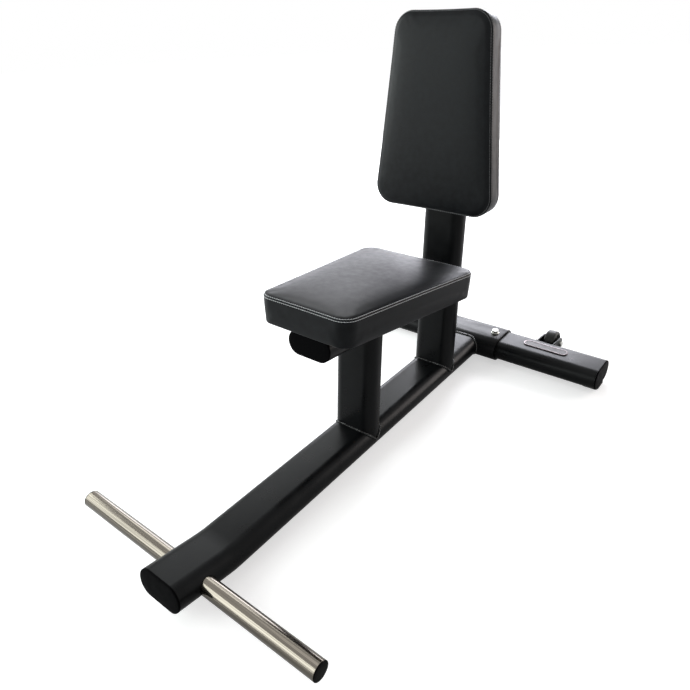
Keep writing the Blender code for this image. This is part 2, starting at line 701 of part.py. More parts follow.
def make_sleeve_bolt(datum, sleeve, crossbar, side, name):
    """A hex bolt with its washer on the sleeve's top, and its nut inside the crossbar."""
    steps = SMALL_ROUND_STEPS
    x = side * SLEEVE_BOLT_REACH
    clear_hole = SLEEVE_BOLT_DIAMETER + 2 * BOLT_CLEARANCE
    sleeve_top = SLEEVE_HEIGHT / 2
    depth = 4 * SLEEVE_WALL
    hole(sleeve, f"sleeve_hole_{name}", clear_hole, depth, datum, (x, 0, sleeve_top))
    hole(crossbar, f"crossbar_hole_{name}", clear_hole, depth, datum, (x, 0, HALF_HEIGHT))

    washer_mesh = pipe(
        circle(SLEEVE_WASHER_DIAMETER / 2, 2 * steps),
        circle(clear_hole / 2, 2 * steps),
        0,
        SLEEVE_WASHER_THICKNESS,
    )
    washer_bottom = sleeve_top + GAP
    piece(f"sleeve_washer_{name}", washer_mesh, "zinc_plate", datum, (x, 0, washer_bottom))

    head_bottom = washer_bottom + SLEEVE_WASHER_THICKNESS + GAP
    nut_top = HALF_HEIGHT - TUBE_WALL - GAP
    length = head_bottom - nut_top + SLEEVE_NUT_HEIGHT + SLEEVE_BOLT_TAIL
    head = hexagon(SLEEVE_BOLT_FLATS, steps)
    crown = circle(SLEEVE_BOLT_FLATS / 2 * HEAD_CROWN, steps)
    shank = circle(SLEEVE_BOLT_DIAMETER / 2, steps)
    tip = circle(SLEEVE_BOLT_DIAMETER / 2 * SHANK_TIP, steps)
    tip_length = SLEEVE_BOLT_DIAMETER * (1 - SHANK_TIP) / 2
    bolt_mesh = loft(
        [
            flat_ring(tip, -length),
            flat_ring(shank, tip_length - length),
            flat_ring(shank, 0),
            flat_ring(head, 0),
            flat_ring(head, SLEEVE_BOLT_HEAD * (1 - HEAD_CHAMFER)),
            flat_ring(crown, SLEEVE_BOLT_HEAD),
        ]
    )
    piece(f"sleeve_bolt_{name}", bolt_mesh, "zinc_plate", datum, (x, 0, head_bottom))

    nut_mesh = pipe(
        hexagon(SLEEVE_NUT_FLATS, steps),
        circle(SLEEVE_BOLT_DIAMETER / 2 + GAP, steps),
        -SLEEVE_NUT_HEIGHT,
        0,
    )
    piece(f"sleeve_nut_{name}", nut_mesh, "zinc_plate", datum, (x, 0, nut_top))


def make_badge(bench):
    """A blank plate with a raised rim, on the crossbar's flat top."""
    outline = rounded_rectangle(BADGE_LENGTH, BADGE_WIDTH, BADGE_CORNER)
    edge = BADGE_RIM / 4
    rim_top = rounded_rectangle(
        BADGE_LENGTH - 2 * edge, BADGE_WIDTH - 2 * edge, BADGE_CORNER - edge
    )
    inner = rounded_rectangle(
        BADGE_LENGTH - 2 * BADGE_RIM, BADGE_WIDTH - 2 * BADGE_RIM, BADGE_CORNER - BADGE_RIM
    )
    mesh = loft(
        [
            flat_ring(outline, 0),
            flat_ring(outline, BADGE_THICKNESS - edge),
            flat_ring(rim_top, BADGE_THICKNESS),
            flat_ring(inner, BADGE_THICKNESS),
            flat_ring(inner, BADGE_THICKNESS - BADGE_RECESS),
        ]
    )
    place = (BADGE_MIDDLE_X, CROSSBAR_STATION + BADGE_SETBACK, TUBE_HEIGHT + GAP)
    piece("badge_plate", mesh, "satin_aluminium", bench, place)


# Feet


def make_foot(name, parent, location, turn):
    """A rubber pad under a tube's flat side, and the screw that holds it from below.

    The location is on the tube's underside.
    """
    outline = rounded_rectangle(FOOT_LENGTH, FOOT_WIDTH, FOOT_CORNER)
    length, width = FOOT_LENGTH - 2 * FOOT_DRAFT, FOOT_WIDTH - 2 * FOOT_DRAFT
    lower = rounded_rectangle(length, width, FOOT_CORNER - FOOT_DRAFT)
    mesh = loft(
        [
            flat_ring(lower, -FOOT_HEIGHT),
            flat_ring(outline, -FOOT_HEIGHT + FOOT_DRAFT_HEIGHT),
            flat_ring(outline, -GAP),
        ]
    )
    foot = piece(name, mesh, "black_rubber", parent, location, (0, 0, turn))
    x, y, z = location
    bore = FOOT_SCREW_DIAMETER + 2 * GAP
    hole(foot, f"{name}_bore", bore, FOOT_HEIGHT * 3, parent, location)
    recess_place = (x, y, z - FOOT_HEIGHT)
    recess = FOOT_SCREW_HEAD + 2 * BOLT_CLEARANCE
    hole(foot, f"{name}_recess", recess, 2 * FOOT_SCREW_RECESS, parent, recess_place)

    steps = SMALL_ROUND_STEPS
    head_top = -FOOT_HEIGHT + FOOT_SCREW_RECESS - GAP
    head_radius = FOOT_SCREW_HEAD / 2
    shank_radius = FOOT_SCREW_DIAMETER / 2
    profile = [
        (head_radius * SHANK_TIP, head_top - FOOT_SCREW_HEAD_HEIGHT),
        (head_radius, head_top - FOOT_SCREW_HEAD_HEIGHT * SHANK_TIP),
        (head_radius, head_top),
        (shank_radius, head_top),
        (shank_radius, head_top + FOOT_SCREW_LENGTH - shank_radius / 2),
        (shank_radius / 2, head_top + FOOT_SCREW_LENGTH),
    ]
    screw = loft(turned_rings(profile, steps))
    piece(f"{name}_screw", screw, "zinc_plate", parent, location)


# Transport wheels


def wheel_mesh():
    """A wheel about the Z axis with a sunk web on each side and a longer hub."""
    bore = BUSH_DIAMETER / 2 + GAP
    radius = WHEEL_DIAMETER / 2
    hub = WHEEL_HUB_DIAMETER / 2
    hub_face = BRACKET_SPAN / 2 - BRACKET_THICKNESS - 2 * GAP
    tread = WHEEL_TREAD / 2
    shoulder = WHEEL_SHOULDER
    rounding = math.sin(math.radians(45))
    half = [
        (bore, hub_face),
        (hub - WHEEL_HUB_CHAMFER, hub_face),
        (hub, hub_face - WHEEL_HUB_CHAMFER),
        (hub, WHEEL_WEB / 2),
        (radius - WHEEL_RIM_DEPTH, WHEEL_WEB / 2),
        (radius - WHEEL_RIM_DEPTH + shoulder / 2, tread),
        (radius - shoulder, tread),
        (radius - shoulder + shoulder * rounding, tread - shoulder + shoulder * rounding),
        (radius, tread - shoulder),
    ]
    other = [(r, -z) for r, z in reversed(half)]
    return loft(turned_rings(half + other, WHEEL_STEPS), joined=True)


def bracket_mesh():
    """A side plate about the axle, in the XY plane with X pointing back, coped to the crossbar.

    Straight edges run from the cope's two ends to the round eye, which they touch.
    """
    centre = (TUBE_WIDTH / 2 - HALF_HEIGHT - WHEEL_SETBACK, HALF_HEIGHT - WHEEL_HEIGHT)
    facing = math.atan2(-centre[1], -centre[0])
    spread = BRACKET_SPREAD
    cope = arc(centre, HALF_HEIGHT + GAP, facing + spread, facing - spread, OVAL_ARC_STEPS)
    top, low = Vector(cope[0]), Vector(cope[-1])
    eye_top = math.atan2(top.y, top.x) - math.acos(BRACKET_EYE_RADIUS / top.length)
    eye_low = math.atan2(low.y, low.x) + math.acos(BRACKET_EYE_RADIUS / low.length)
    eye = arc((0, 0), BRACKET_EYE_RADIUS, eye_low, eye_top, 2 * OVAL_ARC_STEPS)
    return prism(eye + cope, BRACKET_THICKNESS)


def make_wheel(bench, side, name):
    """A wheel on its bush and axle bolt between two side plates. The empty's Z axis is the axle."""
    across = (math.radians(90), 0, math.radians(90))
    axle_place = (side * WHEEL_X, WHEEL_STATION, WHEEL_HEIGHT)
    axle = empty(f"wheel_axle_{name}", bench, axle_place, across)
    piece(f"wheel_{name}", wheel_mesh(), "black_rubber", axle)

    steps = SMALL_ROUND_STEPS
    hole_radius = AXLE_DIAMETER / 2 + GAP
    inner_face = BRACKET_SPAN / 2 - BRACKET_THICKNESS
    bush = pipe(
        circle(BUSH_DIAMETER / 2, WHEEL_STEPS),
        circle(hole_radius, WHEEL_STEPS),
        GAP - inner_face,
        inner_face - GAP,
    )
    piece(f"wheel_bush_{name}", bush, "nylon", axle)
    plate_mesh = bracket_mesh()
    faces = {"outer": inner_face, "inner": -inner_face - BRACKET_THICKNESS}
    if side < 0:
        faces = {"outer": faces["inner"], "inner": faces["outer"]}
    for face, z in faces.items():
        plate_name = f"wheel_bracket_{name}_{face}"
        plate = piece(plate_name, plate_mesh, "black_powder_coat", axle, (0, 0, z))
        bevel(plate, BRACKET_THICKNESS / 8, 1)
        depth = BRACKET_THICKNESS * 3
        hole(plate, f"{plate_name}_hole", 2 * hole_radius, depth, axle, (0, 0, z))

    outer_face = BRACKET_SPAN / 2 + GAP
    tail = outer_face + GAP + AXLE_NUT_HEIGHT + AXLE_TAIL
    head = hexagon(AXLE_FLATS, steps)
    shank = circle(AXLE_DIAMETER / 2, steps)
    tip = circle(AXLE_DIAMETER / 2 * SHANK_TIP, steps)
    crown = circle(AXLE_FLATS / 2 * HEAD_CROWN, steps)
    bolt = loft(
        [
            flat_ring(crown, outer_face + AXLE_HEAD),
            flat_ring(head, outer_face + AXLE_HEAD * (1 - HEAD_CHAMFER)),
            flat_ring(head, outer_face),
            flat_ring(shank, outer_face),
            flat_ring(shank, AXLE_TAIL / 2 - tail),
            flat_ring(tip, -tail),
        ]
    )
    nut = pipe(hexagon(AXLE_FLATS, steps), circle(hole_radius, steps), 0, AXLE_NUT_HEIGHT)
    flip = (0, 0, 0) if side > 0 else (math.radians(180), 0, 0)
    piece(f"axle_bolt_{name}", bolt, "zinc_plate", axle, (0, 0, 0), flip)
    nut_start = outer_face if side < 0 else -outer_face - AXLE_NUT_HEIGHT
    piece(f"axle_nut_{name}", nut, "zinc_plate", axle, (0, 0, nut_start))


def make_bench():
    clear_scene()
    bench = empty("bench", None, (0, -FOOTPRINT_MIDDLE, FOOT_HEIGHT))
    make_spine(bench)
    make_footrest(bench)
    front, back = make_posts(bench)
    make_seat_tube(front)
    make_seat(front)
    make_back(back)
    make_crossbar(bench)
    make_foot("front_foot", bench, (0, FRONT_FOOT_STATION, 0), math.radians(90))
    for side, name in ((1, "left"), (-1, "right")):
        make_wheel(bench, side, name)
    bpy.context.view_layer.update()


make_bench()
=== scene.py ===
"""Looks of a utility bench for strength training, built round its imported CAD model.

Every piece is made in the frame of the CAD model, in metres: X runs to the user's left, Y back
from the footrest and Z up from the floor. Sizes repeat those of the CAD, with finer rounds,
seams, stitches, weld beads and finishes.
"""

import json
import logging
import math
from dataclasses import dataclass, field, replace
from enum import Enum

import bmesh
import bpy
from mathutils import Euler, Matrix, Vector
from mathutils.bvhtree import BVHTree
from mathutils.geometry import delaunay_2d_cdt

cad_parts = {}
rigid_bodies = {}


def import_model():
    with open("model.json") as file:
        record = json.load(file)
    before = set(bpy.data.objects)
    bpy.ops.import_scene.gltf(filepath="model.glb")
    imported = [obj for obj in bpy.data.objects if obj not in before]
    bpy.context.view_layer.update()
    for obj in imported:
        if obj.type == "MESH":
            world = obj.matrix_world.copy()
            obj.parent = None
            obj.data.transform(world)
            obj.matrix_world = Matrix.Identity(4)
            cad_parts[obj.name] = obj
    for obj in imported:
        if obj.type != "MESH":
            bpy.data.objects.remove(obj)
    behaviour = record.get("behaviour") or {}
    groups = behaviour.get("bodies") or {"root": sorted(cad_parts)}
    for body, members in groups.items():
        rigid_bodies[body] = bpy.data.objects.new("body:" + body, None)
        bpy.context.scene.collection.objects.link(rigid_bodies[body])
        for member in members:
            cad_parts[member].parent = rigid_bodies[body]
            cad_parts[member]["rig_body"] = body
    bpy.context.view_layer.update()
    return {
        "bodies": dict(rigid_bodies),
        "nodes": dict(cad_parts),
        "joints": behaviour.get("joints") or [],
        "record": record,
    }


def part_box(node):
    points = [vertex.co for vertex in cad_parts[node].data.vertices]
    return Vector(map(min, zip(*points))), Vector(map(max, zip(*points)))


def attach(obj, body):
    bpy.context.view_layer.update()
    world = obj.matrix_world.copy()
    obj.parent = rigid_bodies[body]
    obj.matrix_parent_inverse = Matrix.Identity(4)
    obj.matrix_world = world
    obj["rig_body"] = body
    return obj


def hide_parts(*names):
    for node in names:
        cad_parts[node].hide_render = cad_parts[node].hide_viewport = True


LOG = logging.getLogger("utility_bench")

# Clearance between pieces that touch, as in the CAD
GAP = 0.0003

# How finely rounds are faceted
HALF_ROUND_STEPS = 28
RING_STEPS = 72
SMALL_RING_STEPS = 48
CORNER_STEPS = 8

# Edges sharper than this stay crisp
CREASE = math.radians(34.0)

# Where most values of a noise lie
NOISE_MIDDLE = (0.3, 0.7)

MILLIMETRE = 0.001
QUARTER_TURN = math.pi / 2

Outline = list[tuple[float, float]]
Rings = list[list[Vector]]
Mesh = bpy.types.Mesh
Node = bpy.types.Node
Tree = bpy.types.NodeTree
Socket = bpy.types.NodeSocket


class Side(Enum):
    """The user's two sides, as signs of X."""

    LEFT = 1
    RIGHT = -1

    @property
    def word(self) -> str:
        """The side's name in piece names."""
        return self.name.lower()


# Colour, node and object helpers


def linear(hex_colour: str) -> tuple[float, float, float, float]:
    """Turn an sRGB hex colour into the linear values that Blender's sockets hold.

    Args:
        hex_colour: Six hex digits with a leading hash.

    Returns:
        Linear red, green, blue and an alpha of one.
    """
    shares = [int(hex_colour[i : i + 2], 16) / 255 for i in (1, 3, 5)]
    red, green, blue = [s / 12.92 if s <= 0.04045 else ((s + 0.055) / 1.055) ** 2.4 for s in shares]
    return red, green, blue, 1.0


def add_node(tree: Tree, kind: str, links: dict | None = None, **settings) -> Node:
    """Add a node with its settings and inputs.

    Args:
        tree: The tree that gets the node.
        kind: The node's type.
        links: Values or output sockets for its inputs, by input name or number.
        **settings: Properties of the node.

    Returns:
        The new node.
    """
    node = tree.nodes.new(kind)
    for name, value in settings.items():
        setattr(node, name, value)
    for key, value in (links or {}).items():
        if isinstance(value, Socket):
            tree.links.new(value, node.inputs[key])
        else:
            node.inputs[key].default_value = value
    return node


def new_object(name: str, data: bpy.types.ID) -> bpy.types.Object:
    """Make an object and put it in the scene.

    Args:
        name: Its name.
        data: Its mesh, light or camera.

    Returns:
        The object.
    """
    obj = bpy.data.objects.new(name, data)
    bpy.context.scene.collection.objects.link(obj)
    return obj


# Finishes


@dataclass(frozen=True)
class Surface:
    """A material while its finish dresses it. Patterns read Object coordinates."""

    tree: Tree
    shader: Node

    def feed(self, socket: Socket, name: str) -> None:
        """Link a socket to one of the shader's inputs."""
        self.tree.links.new(socket, self.shader.inputs[name])

    def place(self, stretch: tuple = (1, 1, 1)) -> Socket:
        """Object coordinates, drawn out along an axis where a pattern has a grain.

        Args:
            stretch: How many times longer the pattern is along each axis.

        Returns:
            The vector socket.
        """
        where = add_node(self.tree, "ShaderNodeTexCoord")
        links = {"Vector": where.outputs["Object"], "Scale": tuple(1 / s for s in stretch)}
        return add_node(self.tree, "ShaderNodeMapping", links).outputs["Vector"]

    def noise(self, size: float, detail: float = 2.0, stretch: tuple = (1, 1, 1)) -> Socket:
        """Soft noise whose features have a real size.

        Args:
            size: Feature size in millimetres.
            detail: Octaves of finer noise.
            stretch: How many times longer the pattern is along each axis.

        Returns:
            The noise's value socket.
        """
        vector = self.place(stretch)
        links = {"Vector": vector, "Scale": 1 / (size * MILLIMETRE), "Detail": detail}
        return add_node(self.tree, "ShaderNodeTexNoise", links).outputs["Fac"]

    def spread(self, value: Socket, low: float = 0.0, high: float = 1.0) -> Socket:
        """Spread the middle of a noise over a range.

        Args:
            value: The noise.
            low: What its low end becomes.
            high: What its high end becomes.

        Returns:
            The value socket.
        """
        start, end = NOISE_MIDDLE
        links = {"Value": value, "From Min": start, "From Max": end, "To Min": low, "To Max": high}
        return add_node(self.tree, "ShaderNodeMapRange", links).outputs["Result"]

    def tint(self, share: Socket, first: str, second: str) -> None:
        """Colour the shader with a mix of two hex colours.

        Args:
            share: How much of the second shows.
            first: The first colour.
            second: The second colour.
        """
        mix = add_node(self.tree, "ShaderNodeMix", {"Factor": share}, data_type="RGBA")
        colours = [socket for socket in mix.inputs if socket.type == "RGBA"]
        colours[0].default_value = linear(first)
        colours[1].default_value = linear(second)
        self.feed(next(socket for socket in mix.outputs if socket.type == "RGBA"), "Base Color")

    def relief(self, *layers: tuple[Socket, float]) -> None:
        """Give the shader a bump of several layers.

        Args:
            *layers: Height sockets, each with its depth in millimetres.
        """
        normal = None
        for height, depth in layers:
            links = {"Height": height, "Strength": 1.0, "Distance": depth * MILLIMETRE}
            if normal is not None:
                links["Normal"] = normal
            normal = add_node(self.tree, "ShaderNodeBump", links).outputs["Normal"]
        self.feed(normal, "Normal")


@dataclass(frozen=True)
class Finish:
    """A surface finish. Its patterns are sized in millimetres."""

    name: str
    slot: str
    colour: str
    roughness: float
    shade: str = ""
    metallic: float = 0.0
    specular: float = 0.5
    gloss: tuple[float, float] = (0.0, 0.0)

    def material(self) -> bpy.types.Material:
        """Give the finish's material, made on first use.

        Returns:
            The material.
        """
        found = bpy.data.materials.get(self.name)
        if found is not None:
            return found
        material = bpy.data.materials.new(self.name)
        material.use_nodes = True
        material.diffuse_color = linear(self.colour)
        shader = material.node_tree.nodes["Principled BSDF"]
        shader.inputs["Base Color"].default_value = linear(self.colour)
        shader.inputs["Roughness"].default_value = self.roughness
        shader.inputs["Metallic"].default_value = self.metallic
        if self.metallic == 0.0:
            shader.inputs["Specular IOR Level"].default_value = self.specular
        self.dress(Surface(material.node_tree, shader))
        return material

    def dress(self, surface: Surface) -> None:
        """Add the finish's own pattern.

        Args:
            surface: The material.
        """
        raise NotImplementedError

    def vary(self, surface: Surface, pattern: Socket, tinted: bool = True) -> None:
        """Let a pattern shade the colour and, where the finish has a gloss range, the gloss.

        Args:
            surface: The material.
            pattern: The noise.
            tinted: Whether it shades the colour too.
        """
        if tinted:
            surface.tint(surface.spread(pattern), self.colour, self.shade)
        if any(self.gloss):
            less, more = self.gloss
            rough = surface.spread(pattern, self.roughness + less, self.roughness + more)
            surface.feed(rough, "Roughness")


@dataclass(frozen=True)
class PowderCoat(Finish):
    """Baked polyester powder: fine orange peel, a satin sheen and a faint speckle."""

    gloss: tuple[float, float] = (-0.04, 0.05)
    cloud: float = 45.0
    peel: float = 2.6
    peel_depth: float = 0.035

    def dress(self, surface: Surface) -> None:
        """Orange peel breaks up reflections, and cloudy patches vary the sheen.

        Args:
            surface: The material.
        """
        self.vary(surface, surface.noise(self.cloud, 3.0))
        # Real peel is about 1 mm across; drawn coarser so that it shows in the render.
        surface.relief((surface.noise(self.peel, 1.0), self.peel_depth))


@dataclass(frozen=True)
class MouldedPlastic(Finish):
    """Injection-moulded polyethylene: spark-eroded grain from the mould and slight sink marks."""

    gloss: tuple[float, float] = (-0.05, 0.06)
    grain: float = 0.9
    grain_depth: float = 0.02
    sink: float = 18.0
    sink_depth: float = 0.12

    def dress(self, surface: Surface) -> None:
        """The grain scatters highlights, and the sink marks bend them.

        Args:
            surface: The material.
        """
        grain = surface.noise(self.grain)
        sink = surface.noise(self.sink, 1.0)
        self.vary(surface, sink, tinted=False)
        surface.relief((sink, self.sink_depth), (grain, self.grain_depth))


@dataclass(frozen=True)
class DrawnSteel(Finish):
    """Drawn tube, polished and chromed: fine die lines run along X and streak the reflections."""

    metallic: float = 1.0
    line: float = 1.6
    line_depth: float = 0.012
    run: float = 220.0
    # Painted shade: between these heights the colour darkens towards the bar's underside, by up to
    # this share
    rubbed: tuple[float, float] = (0.038, 0.0668)
    dulled: float = 0.8
    streaked: tuple[float, float] = (-0.3, 0.6)
    gloss_shares: tuple[float, float] = (0.7, 1.6)

    def dress(self, surface: Surface) -> None:
        """Die lines streak the metal, and painted shade darkens it towards its underside, where it
        would mirror a dark floor.

        Args:
            surface: The material.
        """
        tree = surface.tree
        streaks = surface.noise(self.line, 3.0, (self.run, 1, 1))
        # Painted shade: the colour darkens as the height falls, standing in for the dark floor that
        # the underside reflects; the die lines are the metal's own
        height = add_node(tree, "ShaderNodeSeparateXYZ", {0: surface.place()}).outputs["Z"]
        low, high = self.rubbed
        links = {"Value": height, "From Min": low, "From Max": high}
        links.update({"To Min": self.dulled, "To Max": 0.0})
        painted_shade = add_node(tree, "ShaderNodeMapRange", links).outputs["Result"]
        links = {0: painted_shade, 1: surface.spread(streaks, *self.streaked)}
        share = add_node(tree, "ShaderNodeMath", links, use_clamp=True).outputs[0]
        surface.tint(share, self.colour, self.shade)
        low, high = [self.roughness * factor for factor in self.gloss_shares]
        surface.feed(surface.spread(streaks, low, high), "Roughness")
        surface.relief((streaks, self.line_depth))


@dataclass(frozen=True)
class ZincPlate(Finish):
    """Bright zinc on forged steel: a cloudy passivated film over a slightly pitted surface."""

    shade: str = "#a9aaa4"
    metallic: float = 1.0
    gloss: tuple[float, float] = (-0.06, 0.1)
    cloud: float = 5.0
    pit: float = 0.7
    pit_depth: float = 0.02

    def dress(self, surface: Surface) -> None:
        """Clouds in the film vary colour and gloss, and pits soften the highlights.

        Args:
            surface: The material.
        """
        self.vary(surface, surface.noise(self.cloud, 3.0))
        surface.relief((surface.noise(self.pit), self.pit_depth))


@dataclass(frozen=True)
class BrushedPlate(Finish):
    """Stamped aluminium, brushed along X before it was anodised."""

    metallic: float = 1.0
    gloss: tuple[float, float] = (-0.06, 0.1)
    line: float = 0.5
    line_depth: float = 0.012
    run: float = 60.0
    wave: float = 6.0
    wave_depth: float = 0.05

    def dress(self, surface: Surface) -> None:
        """Brush lines drag the reflections out along the plate.

        Args:
            surface: The material.
        """
        lines = surface.noise(self.line, 3.0, (self.run, 1, 1))
        self.vary(surface, lines)
        surface.relief((lines, self.line_depth), (surface.noise(self.wave), self.wave_depth))


@dataclass(frozen=True)
class Vinyl(Finish):
    """Calendered upholstery vinyl: embossed leather grain over foam that gives a little."""

    gloss: tuple[float, float] = (-0.03, 0.05)
    grain: float = 2.4
    grain_depth: float = 0.012
    valley: float = 0.16
    swell: float = 55.0
    swell_depth: float = 0.35
    scuff: float = 16.0

    def dress(self, surface: Surface) -> None:
        """Grain breaks the gloss into fine cells, and soft swells bend broad reflections.

        Args:
            surface: The material.
        """
        # Real grain cells are about 1 mm; drawn at twice that to show in the render.
        links = {"Vector": surface.place(), "Scale": 1 / (self.grain * MILLIMETRE)}
        links["Randomness"] = 0.9
        cells = add_node(surface.tree, "ShaderNodeTexVoronoi", links, feature="DISTANCE_TO_EDGE")
        links = {"Value": cells.outputs["Distance"], "From Max": self.valley}
        cell = add_node(surface.tree, "ShaderNodeMapRange", links).outputs["Result"]
        self.vary(surface, surface.noise(self.scuff, 4.0))
        swell = surface.noise(self.swell, 1.0)
        surface.relief((swell, self.swell_depth), (cell, self.grain_depth))


@dataclass(frozen=True)
class Thread(Finish):
    """Bonded polyester sewing thread, three plies twisted together."""

    sheen: float = 0.3
    ply: float = 0.6
    ply_depth: float = 0.1

    def dress(self, surface: Surface) -> None:
        """Ply twist shades each stitch, and sheen keeps it soft.

        Args:
            surface: The material.
        """
        surface.shader.inputs["Sheen Weight"].default_value = self.sheen
        plies = surface.noise(self.ply, 1.0)
        self.vary(surface, plies)
        surface.relief((plies, self.ply_depth))


@dataclass(frozen=True)
class Rubber(Finish):
    """Moulded rubber: matt, with a fine sandy skin and a little dust in it."""

    shade: str = "#262625"
    dust: float = 9.0
    skin: float = 1.2
    skin_depth: float = 0.05

    def dress(self, surface: Surface) -> None:
        """The skin kills sharp reflections, and dust greys it in patches.

        Args:
            surface: The material.
        """
        self.vary(surface, surface.noise(self.dust, 4.0))
        surface.relief((surface.noise(self.skin), self.skin_depth))


@dataclass(frozen=True)
class TurnedNylon(Finish):
    """Machined nylon: off-white, waxy, with faint turning marks."""

    wax: float = 0.1
    mark: float = 0.8
    mark_depth: float = 0.02

    def dress(self, surface: Surface) -> None:
        """A little light passes into the wax, and turning marks catch the edge of it.

        Args:
            surface: The material.
        """
        surface.shader.inputs["Subsurface Weight"].default_value = self.wax
        surface.relief((surface.noise(self.mark, 1.0), self.mark_depth))


@dataclass(frozen=True)
class Plywood(Finish):
    """Rotary-cut birch face veneer: long wavy grain along X with darker pores."""

    grain: float = 2.2
    grain_depth: float = 0.08
    run: float = 14.0

    def dress(self, surface: Surface) -> None:
        """Grain lines colour the veneer, and pores roughen it.

        Args:
            surface: The material.
        """
        grain = surface.noise(self.grain, 4.0, (self.run, 1, 1))
        self.vary(surface, grain)
        surface.relief((grain, self.grain_depth))


FRAME_COAT = PowderCoat(
    "satin_black_powder_coat", "powder_coat", "#08090a", 0.3, "#0c0d0e", specular=0.095
)
WELD_COAT = PowderCoat(
    "powder_coat_over_weld",
    "powder_coat",
    "#101112",
    0.16,
    "#1c1d1e",
    specular=0.4,
    peel=1.4,
    peel_depth=0.09,
)
CAP_PLASTIC = MouldedPlastic(
    "black_moulded_polyethylene", "black_plastic", "#070708", 0.45, specular=0.008
)
PLUG_PLASTIC = MouldedPlastic(
    "dark_black_polyethylene", "black_plastic", "#050505", 0.5, specular=0.03
)
BADGE_LACQUER = MouldedPlastic(
    "grey_lacquer_on_aluminium", "aluminium_plate", "#3e3b3c", 0.45, specular=0.22
)
BADGE_METAL = BrushedPlate(
    "brushed_anodised_aluminium", "aluminium_plate", "#857c7e", 0.34, "#5f585a"
)
# Its shade colour tints both the die lines and the painted shade on the underside of the bar
BAR_CHROME = DrawnSteel("polished_drawn_chrome", "chrome_plate", "#7f7970", 0.14, "#3f3b36")
BOLT_ZINC = ZincPlate("bright_zinc_plate", "zinc_plate", "#c9c9c4", 0.3)
STAPLE_STEEL = ZincPlate("galvanised_staple_wire", "zinc_plate", "#b9bab6", 0.35)
PAD_VINYL = Vinyl("black_upholstery_vinyl", "vinyl", "#090a0c", 0.44, "#111315", specular=0.105)
SEAT_THREAD = Thread("light_polyester_thread", "vinyl", "#c6c9cb", 0.6, "#9b9d9f")
BACK_THREAD = Thread("charcoal_polyester_thread", "vinyl", "#3c3e40", 0.6, "#26282a")
TYRE_RUBBER = Rubber("black_wheel_rubber", "black_rubber", "#101010", 0.42, specular=0.2)
FOOT_RUBBER = Rubber("black_foot_rubber", "black_rubber", "#161616", 0.7, specular=0.2)
BUSH_NYLON = TurnedNylon("turned_nylon", "nylon", "#d2cfc4", 0.45)
BOARD_PLY = Plywood("birch_plywood_face", "plywood", "#caa878", 0.62, "#b08a5a")


# Outlines, as (x, y) points that run counter-clockwise


def arc(
    centre: tuple[float, float], radius: float, start: float, end: float, steps: int
) -> Outline:
    """Lay points on an arc, both ends included.

    Args:
        centre: Its centre.
        radius: Its radius.
        start: First angle.
        end: Last angle.
        steps: How many parts it is cut into.

    Returns:
        The points.
    """
    angles = [start + (end - start) * i / steps for i in range(steps + 1)]
    return [(centre[0] + radius * math.cos(a), centre[1] + radius * math.sin(a)) for a in angles]


def circle(radius: float, steps: int = RING_STEPS) -> Outline:
    """A full circle about the origin."""
    return arc((0, 0), radius, 0, 2 * math.pi, steps)[:-1]


def quarter_round(radius: float, steps: int) -> Outline:
    """(inset, depth below its top) of each point on a quarter round, from side to top."""
    angles = [QUARTER_TURN * i / steps for i in range(steps + 1)]
    return [(radius * (1 - math.cos(a)), radius * (1 - math.sin(a))) for a in angles]


def hex_reach(across_flats: float, angle: float) -> float:
    """How far a hexagon reaches from its middle, by its size over the flats and the direction."""
    from_flat = (angle + math.pi / 6) % (math.pi / 3) - math.pi / 6
    return across_flats / 2 / math.cos(from_flat)


# Meshes


def flat_ring(outline: Outline, z: float) -> list[Vector]:
    """The outline's points at one height."""
    return [Vector((x, y, z)) for x, y in outline]


def turned_rings(profile: Outline, steps: int = RING_STEPS) -> Rings:
    """Rings about the Z axis, one for each (radius, z) of the profile."""
    return [flat_ring(circle(radius, steps), z) for radius, z in profile]


def plate_rings(length: float, width: float, corner: float, rows: Outline) -> Rings:
    """Rings of a plate with round corners on the XY plane.

    Args:
        length: Size along X.
        width: Size along Y.
        corner: Radius of its corners.
        rows: (inset, height) of each ring.

    Returns:
        The rings.
    """
    rings = []
    for inset, z in rows:
        radius = corner - inset
        points = []
        for turn, (sx, sy) in enumerate(((1, 1), (-1, 1), (-1, -1), (1, -1))):
            reach = ((length - 2 * inset) / 2 - radius, (width - 2 * inset) / 2 - radius)
            start = turn * QUARTER_TURN
            centre = (sx * reach[0], sy * reach[1])
            points += arc(centre, radius, start, start + QUARTER_TURN, CORNER_STEPS)
        rings.append(flat_ring(points, z))
    return rings


def skin_faces(bm: bmesh.types.BMesh, lower: list, upper: list) -> None:
    """Close the gap between two rings of vertices with quads.

    Args:
        bm: The mesh.
        lower: One ring.
        upper: The other ring, with as many vertices.
    """
    for i in range(len(lower)):
        j = (i + 1) % len(lower)
        bm.faces.new((lower[i], lower[j], upper[j], upper[i]))


def loft(rings: Rings, joined: bool = True) -> Mesh:
    """Skin a run of rings that all have the same number of points.

    Args:
        rings: The rings in order.
        joined: Whether the last ring meets the first, as in a pipe. Otherwise both ends are
            filled.

    Returns:
        A closed mesh whose faces point outwards.
    """
    mesh = bpy.data.meshes.new("loft")
    bm = bmesh.new()
    loops = [[bm.verts.new(point) for point in ring] for ring in rings]
    pairs = list(zip(loops, loops[1:]))
    if joined:
        pairs.append((loops[-1], loops[0]))
    else:
        bm.faces.new(loops[0])
        bm.faces.new(loops[-1])
    for lower, upper in pairs:
        skin_faces(bm, lower, upper)
    bmesh.ops.recalc_face_normals(bm, faces=bm.faces[:])
    bm.to_mesh(mesh)
    bm.free()
    return mesh


def seat_at(location: tuple = (0, 0, 0), rotation: tuple = (0, 0, 0)) -> Matrix:
    """The matrix of a place and XYZ angles."""
    return Matrix.Translation(location) @ Euler(rotation).to_matrix().to_4x4()


